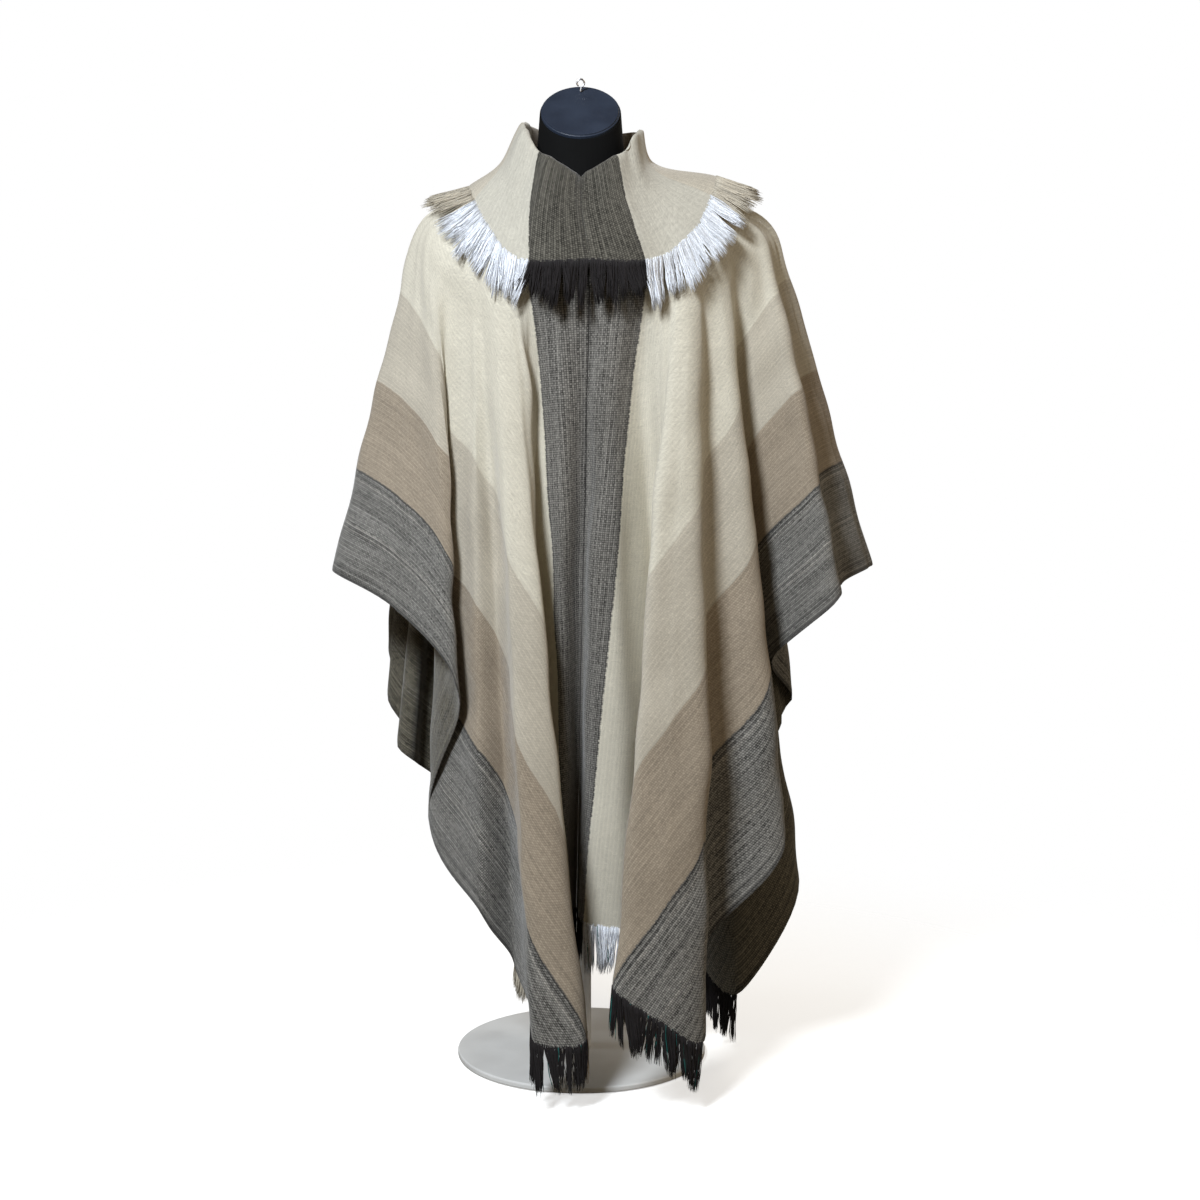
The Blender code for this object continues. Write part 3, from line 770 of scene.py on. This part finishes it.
def shoulderPoint(angle):
    fall = abs(math.sin(angle)) ** poncho["chestFall"]
    height = poncho["shoulderHeight"] - poncho["chestDrop"] * fall
    return ovalPoint(angle, poncho["shoulderHalf"], poncho["shoulderX"], height)


def foldPath(fold):
    # From the neck seam over the rounded shoulder to the fold's end
    across, along, *tip = fold
    angle = math.atan2(along, across)
    neck, shoulder, tip = neckPoint(angle), shoulderPoint(angle), np.array(tip)
    start = shoulder + unit(neck - shoulder) * poncho["shoulderRound"]
    end = shoulder + unit(tip - shoulder) * poncho["shoulderRound"]
    lead = poncho["neckRows"]
    points = [neck + (start - neck) * step / lead for step in range(lead)]
    rows = poncho["shoulderRows"] - lead
    for row in range(rows):
        t = row / rows
        points.append((1 - t) ** 2 * start + 2 * t * (1 - t) * shoulder + t * t * end)
    for row in range(poncho["hangRows"] + 1):
        points.append(end + (tip - end) * row / poncho["hangRows"])
    return np.array(points)


def creaseHeights(places, creases):
    # Soft ridges and troughs along lines between flat places, fading at both ends
    total = np.zeros(places.shape[:-1])
    blunt = poncho["creaseBlunt"]
    for startX, startY, endX, endY, half, height in creases:
        start, run = np.array([startX, startY]), np.array([endX - startX, endY - startY])
        share = ((places - start) @ run) / (run @ run)
        nearest = start + np.clip(share, 0, 1)[..., None] * run
        off = np.linalg.norm(places - nearest, axis=-1) / half
        inside = np.clip(share * (1 - 2 * blunt) + blunt, 0, 1)
        fade = np.sin(np.pi * inside) ** poncho["creaseFade"]
        total += height * np.exp(-off**2) * fade
    return total


def slackFolds(grid, places, folds):
    # A soft wave between each two main folds where the flat cloth is wider than the worn
    per = poncho["columnsPerFold"]
    heights = np.zeros(grid.shape[:2])
    turns = np.sin(2 * math.pi * np.arange(per) / per)
    for index, fold in enumerate(folds):
        first = index * per
        spans = (np.diff(ringPart(values, first, first + per), axis=1) for values in (grid, places))
        worn, flat = (np.linalg.norm(span, axis=2).sum(axis=1) for span in spans)
        spare = np.sqrt(np.maximum(0, flat / np.maximum(worn, 0.001) - 1))
        most = np.minimum(poncho["slackMost"], worn / math.pi * spare)
        behind = fold[3] + folds[(index + 1) % len(folds)][3] > 2 * poncho["backFrom"]
        part = poncho["slackBack"] if behind else poncho["slackFront"]
        sign = 1 if index % 3 else -1
        heights[:, first : first + per] = sign * part * most[:, None] * turns
    return heights


def ponchoGrid():
    folds = []
    for part in ("rightFrontHem", "rightSelvedge", "rightBackHem", "leftBackHem", "leftSelvedge",
                 "leftFrontHem"):
        folds += poncho[part]
    per = poncho["columnsPerFold"]
    paths = np.array([foldPath(fold) for fold in folds])
    grid = throughKnots(paths.transpose(1, 0, 2), per)
    steps = np.linalg.norm(np.diff(grid, axis=0), axis=2)
    travelled = np.concatenate([np.zeros((1, grid.shape[1])), np.cumsum(steps, axis=0)])
    share = (travelled / travelled[-1])[..., None]
    ends = []
    for index, fold in enumerate(folds):
        here, after = np.array(fold[:2]), np.array(folds[(index + 1) % len(folds)][:2])
        ends += [here + (after - here) * step / per for step in range(per)]
    ends = np.array(ends)
    slid = (ends[:, 0] < 0) & (ends[:, 1] < 0)
    placed = ends.copy()
    placed[slid, 0] = -np.interp(-ends[slid, 0], *poncho["leftFrontSlide"])
    angles = np.arctan2(ends[:, 1], ends[:, 0])
    wide, quickLeft, quickRight, long = poncho["slit"]
    quick = np.where(np.cos(angles) < 0, quickLeft, quickRight)
    slit = np.stack([wide * np.tanh(quick * np.cos(angles)), long * np.sin(angles)], axis=1)
    places = slit + (placed - slit) * share
    lifted = creaseHeights(places, poncho["creases"])
    calm = np.clip(share[..., 0] / poncho["calmShare"], 0, 1)
    lifted += ripples(places, poncho["rippleSeed"]) * poncho["ripple"] * calm
    lifted += slackFolds(grid, places, folds)
    grid = grid + ringNormals(grid) * (lifted * calm)[..., None]
    return grid, places, folds


def buildPanels(grid, places, finishes):
    per = poncho["columnsPerFold"]
    right = len(poncho["rightFrontHem"] + poncho["rightSelvedge"] + poncho["rightBackHem"]) * per
    spans = {"panel_right": (0, right), "panel_left": (right, grid.shape[1])}
    made = {}
    for name, (first, last) in spans.items():
        flat = ringPart(places, first, last)
        mesh = clothWall(name, grid, first, last, cloth["wall"], flat, flat, finishes)
        made[name] = addPiece(f"{name}_cloth", mesh, "cloth", name)
    return made


# What all yarns share
yarn = {
    "radius": 0.00060,
    "segments": 6,
    "sides": 3,
    # Length over which the twist is laid on every yarn
    "twistLength": 0.060,
    "rootsUp": 0.0045,
    "rootsOut": 0.0013,
    "roughness": 0.75,
    "tone": (0.72, 1.22),
    # Noise along a metre of yarn and from yarn to yarn, its tone, and its relief's depth
    "twist": (420.0, 90.0),
    "twistTone": (0.86, 1.12),
    "twistStrength": 0.4,
    "twistDepth": 0.0004,
    "sheen": 0.2,
    "specular": 0.2,
    # Where a yarn starts to thin, and how much of it is gone at the tip
    "taper": (0.75, 0.75),
    # Lengths as shares of the fringe's, by lock and by yarn
    "lockLengths": (0.80, 1.07),
    "yarnLengths": (0.80, 1.02),
    "lockPuff": 0.0012,
    "lockCurl": 0.0014,
    # Each yarn's own part of its lock's gather, and of the fluff and the root's height
    "ownGather": (0.75, 1.1),
    "ownPart": (0.2, 1.0),
    # Part of the fluff that moves a tip in or out
    "tipPuff": 0.6,
    # 1 is a straight way to the tip, more turns later
    "turnLate": 1.2,
    # Radians of wave along a yarn: sideways, in depth, and sideways for a whole lock
    "waveTurns": (5.0, 4.0, 3.2),
    "waveSwell": 1.1,
    "rootsEase": 0.5,
    # How fast the spread of the dark tuft dies away beside it
    "tuftFade": 3,
    "centreColour": (0.013, 0.010, 0.011),
    "creamColour": (0.850, 0.880, 0.940),
    "beigeColour": (0.560, 0.510, 0.420),
    "tanColour": (0.230, 0.175, 0.125),
    "greyColour": (0.012, 0.009, 0.010),
    "tealColour": (0.010, 0.130, 0.120),
}

hemFringe = {
    "length": 0.060,
    # Locks of uneven width, and how far each one gathers towards its middle
    "lockWidths": (0.004, 0.016),
    "gather": (0.25, 0.85),
    "yarnsPerMetre": 3500,
    # How far the yarns go on in the cloth's own direction, read over its last rows
    "clothLean": 0.16,
    "leanRows": 5,
    "fan": 0.0050,
    "fluff": 0.0021,
    # How far the dark tuft spreads at its corners, and how much shorter it is there
    "flare": 0.0,
    "rounded": 0.0,
    "seed": 7,
    # Share of teal yarns in each front fringe
    "tealRight": 0.03,
    "tealLeft": 0.012,
    "fromEdge": 0.0012,
}

collarFringe = {
    "length": 0.058,
    "lockWidths": (0.005, 0.013),
    "gather": (0.20, 0.70),
    "yarnsPerMetre": 3800,
    "fan": 0.0025,
    "fluff": 0.0018,
    "flare": 0.011,
    "rounded": 0.38,
    "fromEdge": 0.0016,
    "seed": 23,
}


def makeTwistGroup():
    # Twist along a yarn, from metres along it and a number that differs from yarn to yarn
    inputs = {"Along": ("Float", 0.0), "Own Shade": ("Float", 0.5)}
    tree, given, out = newGroup("yarnTwist", inputs, {"Twist": "Float", "Tone": "Float"})
    ownTone = remap(tree, given["Own Shade"], 0, 1, *yarn["tone"])
    lengthwise, apart = yarn["twist"]
    place = addNode(tree, "CombineXYZ", {0: calc(tree, "MULTIPLY", given["Along"], lengthwise),
                                         1: calc(tree, "MULTIPLY", given["Own Shade"], apart)})
    twist = addNode(tree, "TexNoise", {"Vector": place.outputs[0], "Scale": 1.0, "Detail": 2.0})
    twistTone = remap(tree, twist.outputs["Fac"], *noiseSpan, *yarn["twistTone"])
    tree.links.new(twist.outputs["Fac"], out["Twist"])
    tree.links.new(calc(tree, "MULTIPLY", ownTone, twistTone), out["Tone"])
    return tree


def fringeMaterial(name, groups, teal=False):
    material, tree, shader = newMaterial(name, yarn["creamColour"], yarn["roughness"])
    bands = addNode(tree, "SeparateXYZ", {0: flatPlaces(tree, "bands")}).outputs
    strand = addNode(tree, "SeparateXYZ", {0: flatPlaces(tree, "flat")}).outputs
    shades = {label: rgba(yarn[label.lower() + "Colour"])
              for label in ("Centre", "Cream", "Beige", "Tan", "Grey")}
    if teal:
        shades = dict.fromkeys(shades, rgba(yarn["tealColour"]))
    band = useGroup(tree, groups["stripes"], {"Across": bands[0], "Wander": bands[1],
                                              "Line Strength": 0.0, **shades})
    twist = useGroup(tree, groups["twist"], {"Along": strand[0], "Own Shade": bands[1]})
    tree.links.new(brighten(tree, band["Color"], twist["Tone"]), shader.inputs["Base Color"])
    bump = addNode(tree, "Bump", {"Height": twist["Twist"], "Strength": yarn["twistStrength"],
                                  "Distance": yarn["twistDepth"]})
    tree.links.new(bump.outputs[0], shader.inputs["Normal"])
    shader.inputs["Sheen Weight"].default_value = yarn["sheen"]
    shader.inputs["Specular IOR Level"].default_value = yarn["specular"]
    return material


def yarnMesh(name, lines, across, tone, kinds, finishes):
    # lines is (yarns, points, 3); each becomes a closed tapering tube
    yarns, points = lines.shape[:2]
    sides = yarn["sides"]
    along = unit(np.gradient(lines, axis=1))
    side = unit(np.cross(along, np.array([0.31, 0.77, 0.22])))
    other = np.cross(along, side)
    share = np.linspace(0, 1, points)
    thinFrom, gone = yarn["taper"]
    thinned = 1 - gone * (share - thinFrom) / (1 - thinFrom)
    width = yarn["radius"] * np.where(share > thinFrom, thinned, 1.0)
    turns = 2 * math.pi * np.arange(sides) / sides
    ring = side[:, :, None] * np.cos(turns)[:, None] + other[:, :, None] * np.sin(turns)[:, None]
    skin = lines[:, :, None] + ring * width[None, :, None, None]
    at = np.arange(yarns * points * sides).reshape(yarns, points, sides)
    after = np.roll(at, -1, axis=2)
    wall = np.stack([at[:, :-1], after[:, :-1], after[:, 1:], at[:, 1:]], axis=-1).reshape(-1, 4)
    corners = np.concatenate([wall[:, [0, 1, 2]], wall[:, [0, 2, 3]]])
    root = at[:, 0, [0, 2, 1]]
    tip = at[:, -1, :3]
    faces = np.concatenate([corners, root, tip])
    yarnOf = np.repeat(np.arange(yarns), points * sides)
    lengths = np.tile(np.repeat(share * yarn["twistLength"], sides), yarns)
    flat = np.stack([lengths, np.zeros_like(lengths)], axis=1)
    bands = np.stack([across[yarnOf], tone[yarnOf]], axis=1)
    return meshFrom(name, skin.reshape(-1, 3), faces, {"flat": flat, "bands": bands}, finishes,
                    kinds[yarnOf[faces[:, 0]]])


def fringeLines(edge, reach, normals, bandAt, look, teal=0.0):
    # Yarns along an edge, gathered by locks; reach is each column's way to the tips
    draw = np.random.default_rng(look["seed"])
    steps = np.linalg.norm(np.diff(edge, axis=0), axis=1)
    travelled = np.concatenate([[0], np.cumsum(steps)])
    total = travelled[-1]
    low, high = look["lockWidths"]
    locks = max(1, round(2 * total / (low + high)))
    widths = draw.uniform(low, high, locks)
    cuts = np.concatenate([[0], np.cumsum(widths)]) / widths.sum() * total
    yarns = round(total * look["yarnsPerMetre"])
    rootAt = draw.uniform(0, total, yarns)
    lock = np.clip(np.searchsorted(cuts, rootAt) - 1, 0, locks - 1)
    middle = (cuts[:-1] + cuts[1:]) / 2
    gather = draw.uniform(*look["gather"], locks)[lock] * draw.uniform(*yarn["ownGather"], yarns)
    swing = draw.normal(0, look["fan"], locks)[lock]
    tipAt = rootAt + (middle[lock] - rootAt) * gather + swing + draw.normal(0, look["fluff"], yarns)
    # The dark tuft can be shorter at its corners and spread outward there
    across = np.interp(rootAt, travelled, bandAt)
    inTuft = np.abs(across) / stripes["centre"]
    corner = np.where(inTuft < 1, inTuft**2, np.exp(-((inTuft - 1) * yarn["tuftFade"]) ** 2))
    away = np.sign(np.interp(rootAt, travelled, np.gradient(np.abs(bandAt), travelled)))
    tipAt = tipAt + look["flare"] * corner * away

    def along(values, where):
        return np.stack([np.interp(where, travelled, values[:, axis]) for axis in range(3)], axis=1)

    kept = np.clip(tipAt, 0, total)
    normal = unit(along(normals, rootAt))
    way, wayAtTip = along(reach, rootAt), along(reach, kept)
    sideways = unit(along(np.gradient(edge, axis=0), kept))
    target = along(edge, kept) + sideways * (tipAt - kept)[:, None]
    up = yarn["rootsUp"] * draw.uniform(*yarn["ownPart"], yarns)
    root = along(edge, rootAt) - way * up[:, None]
    out = draw.uniform(-1, 1, yarns) * yarn["rootsOut"]
    longer = look["length"] * draw.uniform(*yarn["lockLengths"], locks)[lock]
    longer = longer * draw.uniform(*yarn["yarnLengths"], yarns)
    longer = longer * np.where(inTuft < 1, 1 - look["rounded"] * corner, 1.0)
    puff = draw.normal(0, yarn["lockPuff"], locks)[lock]
    puff = puff + draw.normal(0, look["fluff"] * yarn["tipPuff"], yarns)
    phase = draw.uniform(0, 2 * math.pi, yarns)
    wavy = draw.uniform(*yarn["ownPart"], yarns) * look["fluff"]
    lockPhase = draw.uniform(0, 2 * math.pi, locks)[lock]
    sideTurn, depthTurn, lockTurn = yarn["waveTurns"]
    lines = []
    for t in np.linspace(0, 1, yarn["segments"] + 1):
        pull = t ** yarn["turnLate"]
        hang = (way + (wayAtTip - way) * pull) * (longer * t)[:, None]
        point = root + (target - root) * pull + hang
        swell = math.sin(math.pi * min(1, t * yarn["waveSwell"]))
        curl = wavy * swell * np.sin(phase + sideTurn * t)
        curl += yarn["lockCurl"] * t * np.sin(lockPhase + lockTurn * t)
        depth = out * (1 - yarn["rootsEase"] * t) + puff * t
        depth += wavy * t * np.cos(phase + depthTurn * t)
        lines.append(point + sideways * curl[:, None] + normal * depth[:, None])
    tone = draw.uniform(0, 1, yarns)
    kinds = (draw.uniform(0, 1, yarns) < teal).astype(int)
    return np.stack(lines, axis=1), across, tone, kinds


def buildHemFringes(grid, places, folds, finishes):
    per = poncho["columnsPerFold"]
    corner = len(poncho["rightFrontHem"] + poncho["rightSelvedge"]) - 1
    right = corner + 1 + len(poncho["rightBackHem"])
    spans = {
        "fringe_front_right": (0, len(poncho["rightFrontHem"]) - 1, hemFringe["tealRight"]),
        "fringe_back_right": (corner, right, 0.0),
        "fringe_back_left": (right, right + len(poncho["leftBackHem"]) - 1, 0.0),
        "fringe_front_left": (len(folds) - len(poncho["leftFrontHem"]), len(folds),
                              hemFringe["tealLeft"]),
    }
    normals = ringNormals(grid)
    made = {}
    for turn, (name, (first, last, teal)) in enumerate(spans.items()):
        first, last = first * per, last * per
        hanging = ringPart(grid, first, last)
        edge = hanging[-1] - np.array([0, 0, hemFringe["fromEdge"]])
        onward = unit(hanging[-1] - hanging[-1 - hemFringe["leanRows"]])
        lean = hemFringe["clothLean"]
        reach = unit(onward * lean + np.array([0, 0, -1.0]) * (1 - lean))
        bandAt = ringPart(places, first, last)[-1, :, 0]
        look = dict(hemFringe, seed=hemFringe["seed"] + turn)
        outward = ringPart(normals, first, last)[-1]
        lines, across, tone, kinds = fringeLines(edge, reach, outward, bandAt, look, teal)
        mesh = yarnMesh(name, lines, across, tone, kinds, finishes)
        made[name] = addPiece(f"{name}_yarns", mesh, "fringe", name)
    return made


collar = {
    # Degrees round the neck from the wearer's left, then radius and height of the
    # rolled top, of the waist below it, of the cut edge and of the fringe tips.
    "rows": [
        (-90, 0.076, 1.120, 0.110, 1.081, 0.148, 1.018, 0.154, 0.958),
        (-72, 0.085, 1.132, 0.115, 1.085, 0.156, 1.016, 0.162, 0.957),
        (-56, 0.084, 1.144, 0.108, 1.098, 0.154, 1.022, 0.164, 0.965),
        (-38, 0.080, 1.166, 0.096, 1.120, 0.160, 1.054, 0.196, 1.012),
        (-15, 0.074, 1.173, 0.086, 1.134, 0.158, 1.106, 0.210, 1.082),
        (8, 0.074, 1.175, 0.086, 1.137, 0.158, 1.119, 0.210, 1.098),
        (35, 0.076, 1.175, 0.090, 1.130, 0.158, 1.092, 0.198, 1.062),
        (62, 0.080, 1.172, 0.100, 1.122, 0.160, 1.044, 0.172, 0.990),
        (90, 0.080, 1.170, 0.104, 1.116, 0.160, 1.020, 0.168, 0.962),
        (118, 0.080, 1.174, 0.102, 1.122, 0.158, 1.044, 0.170, 0.992),
        (146, 0.076, 1.180, 0.098, 1.134, 0.152, 1.090, 0.186, 1.062),
        (170, 0.073, 1.184, 0.100, 1.136, 0.152, 1.106, 0.190, 1.094),
        (192, 0.073, 1.182, 0.100, 1.134, 0.148, 1.098, 0.190, 1.082),
        (212, 0.078, 1.168, 0.100, 1.124, 0.148, 1.062, 0.182, 1.026),
        (234, 0.084, 1.145, 0.108, 1.100, 0.154, 1.022, 0.164, 0.964),
        (254, 0.085, 1.131, 0.114, 1.084, 0.154, 1.016, 0.160, 0.956),
    ],
    "wall": 0.0021,
    "lift": 0.004,
    "lean": 0.94,
    "leanHeight": 0.55,
    "rowsPerSpan": 11,
    "columnsPerRow": 20,
    "cut": (0.42, 0.16),
    # Where the stripes end, in degrees from the centre front, at the roll and at the edge.
    "stripesAtRoll": (34, 74, 112, 146, 180),
    "stripesAtEdge": (26.5, 70, 112, 146, 180),
    "stripeTurn": (4.0, 1.5),
    # Radius at which degrees round the neck count as cloth
    "aroundRadius": 0.115,
    "ripple": 0.0007,
    "rippleSeed": 11,
    # Share of the way down over which ripples set in
    "calmShare": 0.25,
    # Painted shade: the collar's centre and cream colours are the panels' same cloth painted darker
    "centreColour": (0.080, 0.075, 0.063),
    "creamColour": (0.520, 0.497, 0.430),
    # Soft creases: degrees, share of the way down at each end, half width in metres, height.
    "creases": [
        (-90, 0.36, 0.66, 0.005, -0.0045),
        (-117, 0.40, 0.90, 0.010, 0.0030),
        (-63, 0.42, 0.95, 0.010, 0.0028),
        (-48, 0.40, 0.80, 0.012, -0.0035),
        (-132, 0.42, 0.86, 0.012, -0.0030),
        (-152, 0.35, 0.80, 0.012, 0.0030),
        (-20, 0.38, 0.78, 0.012, 0.0030),
        (24, 0.40, 0.85, 0.014, -0.0030),
        (70, 0.38, 0.92, 0.014, 0.0035),
        (104, 0.40, 0.90, 0.012, -0.0030),
        (160, 0.36, 0.80, 0.012, 0.0030),
    ],
    "creaseFade": 0.8,
}


def collarProfile(points):
    # An open curve through five points, from the neck seam over the roll to the cut edge
    steps = collar["rowsPerSpan"]
    ends = [2 * points[0] - points[1], *points, 2 * points[-1] - points[-2]]
    closed = throughKnots(np.array([ends]), steps)[0]
    return closed[steps : steps * len(points) + 1]


def collarGrids():
    knots, tips = [], []
    for angle, roll, rollZ, waist, waistZ, edgeR, edgeZ, tipR, tipZ in collar["rows"]:
        angle = math.radians(angle)
        seam = neckPoint(angle) + np.array([0, 0, collar["lift"]])
        leanR = roll * collar["lean"]
        leanZ = seam[2] + (rollZ - seam[2]) * collar["leanHeight"]
        inner = ovalPoint(angle, (leanR, leanR), poncho["neckX"], leanZ)
        top = ovalPoint(angle, (roll, roll), poncho["neckX"], rollZ)
        below = ovalPoint(angle, (waist, waist), poncho["neckX"], waistZ)
        edge = ovalPoint(angle, (edgeR, edgeR), poncho["shoulderX"], edgeZ)
        tip = ovalPoint(angle, (tipR, tipR), poncho["shoulderX"], tipZ)
        knots.append(collarProfile([seam, inner, top, below, edge]))
        tips.append([edge, tip])
    per = collar["columnsPerRow"]
    body = throughKnots(np.array(knots).transpose(1, 0, 2), per)
    reach = throughKnots(np.array(tips).transpose(1, 0, 2), per)
    rowAngles = [row[0] for row in collar["rows"]] + [collar["rows"][0][0] + 360]
    angles = np.interp(np.arange(body.shape[1]) / per, np.arange(len(rowAngles)), rowAngles)
    return body, reach, angles


def collarBands(angles, rows):
    # Distance across as the stripes count it, from degrees round the collar
    edges = [0, *(stripes[name] for name in ("centre", "cream", "beige", "tan", "selvedge"))]
    fromFront = (angles + 90 + 180) % 360 - 180
    bands = np.empty((rows, len(angles)))
    for row in range(rows):
        share = min(1.0, max(0.0, 2 * row / (rows - 1) - 1))
        ends = [atRoll + (atEdge - atRoll) * share
                for atRoll, atEdge in zip(collar["stripesAtRoll"], collar["stripesAtEdge"])]
        turned = fromFront + np.interp(share, [0, 1], collar["stripeTurn"])
        bands[row] = np.sign(turned) * np.interp(np.abs(turned), [0, *ends], edges)
    return bands


def buildCollar(clothFinishes, fringeFinishes):
    body, reach, angles = collarGrids()
    rows, count = body.shape[:2]
    down = np.linalg.norm(np.diff(body, axis=0), axis=2)
    travelled = np.concatenate([np.zeros((1, count)), np.cumsum(down, axis=0)])
    around = collar["aroundRadius"]
    arc = np.radians(angles) * around
    flat = np.stack([np.broadcast_to(arc, (rows, count)), travelled], axis=-1)
    lifted = np.zeros((rows, count))
    share = np.linspace(0, 1, rows)[:, None]
    fade = collar["creaseFade"]
    for angle, start, end, half, height in collar["creases"]:
        off = np.radians((angles - angle + 180) % 360 - 180) * around / half
        along = np.clip((share - start) / (end - start), 0, 1)
        lifted += height * np.exp(-off**2)[None, :] * np.sin(np.pi * along) ** fade
    calm = np.clip(share / collar["calmShare"], 0, 1)
    lifted += ripples(flat, collar["rippleSeed"]) * collar["ripple"] * calm
    body = body + ringNormals(body) * lifted[..., None]
    bands = collarBands(angles, rows)
    both = np.stack([bands, np.zeros_like(bands)], axis=-1)
    spans = {"right": (0, count // 2), "left": (count // 2, count)}
    made = {}
    normals = ringNormals(body)
    for turn, (side, (first, last)) in enumerate(spans.items()):
        part = ringPart(flat, first, last).copy()
        part[:, :, 0] = np.unwrap(part[:, :, 0], axis=1, period=2 * math.pi * around)
        name = f"collar_{side}"
        mesh = clothWall(name, body, first, last, collar["wall"], part, ringPart(both, first, last),
                         clothFinishes)
        made[name] = addPiece(f"{name}_cloth", mesh, "cloth", name)
        edge = ringPart(body, first, last)[-1]
        toTips = ringPart(reach, first, last)
        way = unit(toTips[1] - toTips[0])
        edge = edge + way * collarFringe["fromEdge"]
        look = dict(collarFringe, seed=collarFringe["seed"] + turn)
        bandAt = ringPart(bands[..., None], first, last)[-1, :, 0]
        outward = ringPart(normals, first, last)[-1]
        lines, across, tone, kinds = fringeLines(edge, way, outward, bandAt, look)
        name = f"collar_fringe_{side}"
        mesh = yarnMesh(name, lines, across, tone, kinds, fringeFinishes)
        made[name] = addPiece(f"{name}_yarns", mesh, "fringe", name)
    return made


groups = {
    "stripes": makeStripeGroup(),
    "weave": makeWeaveGroup(),
    "nap": makeNapGroup(),
    "twist": makeTwistGroup(),
    "wear": makeWearGroup(),
}
buildStudio()
print("studio ready")
clothFinishes = [clothMaterial("stripedAlpaca", groups),
                 clothMaterial("stripedAlpacaWrongSide", groups, cloth["wrongSideColour"],
                               cloth["wrongSideLines"])]
# The collar's material uses those darker colours, painted shade over the same cloth as the panels
paintedShadeCollarFinishes = [clothMaterial("collarAlpacaPaintedShade", groups, Centre=collar["centreColour"],
                                Cream=collar["creamColour"]), clothFinishes[1]]
fringeFinishes = [fringeMaterial("warpYarn", groups), fringeMaterial("tealYarn", groups, teal=True)]
grid, places, folds = ponchoGrid()
panels = buildPanels(grid, places, clothFinishes)
print("panels draped")
hems = buildHemFringes(grid, places, folds, fringeFinishes)
print("hem fringe laid")
neckPieces = buildCollar(paintedShadeCollarFinishes, fringeFinishes)
print("collar rolled")
finishSupport(groups)
print("support finished")

boxes = {"cad": cadBox, "visual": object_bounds()}
boxes = {name: [list(corner) for corner in box] for name, box in boxes.items()}
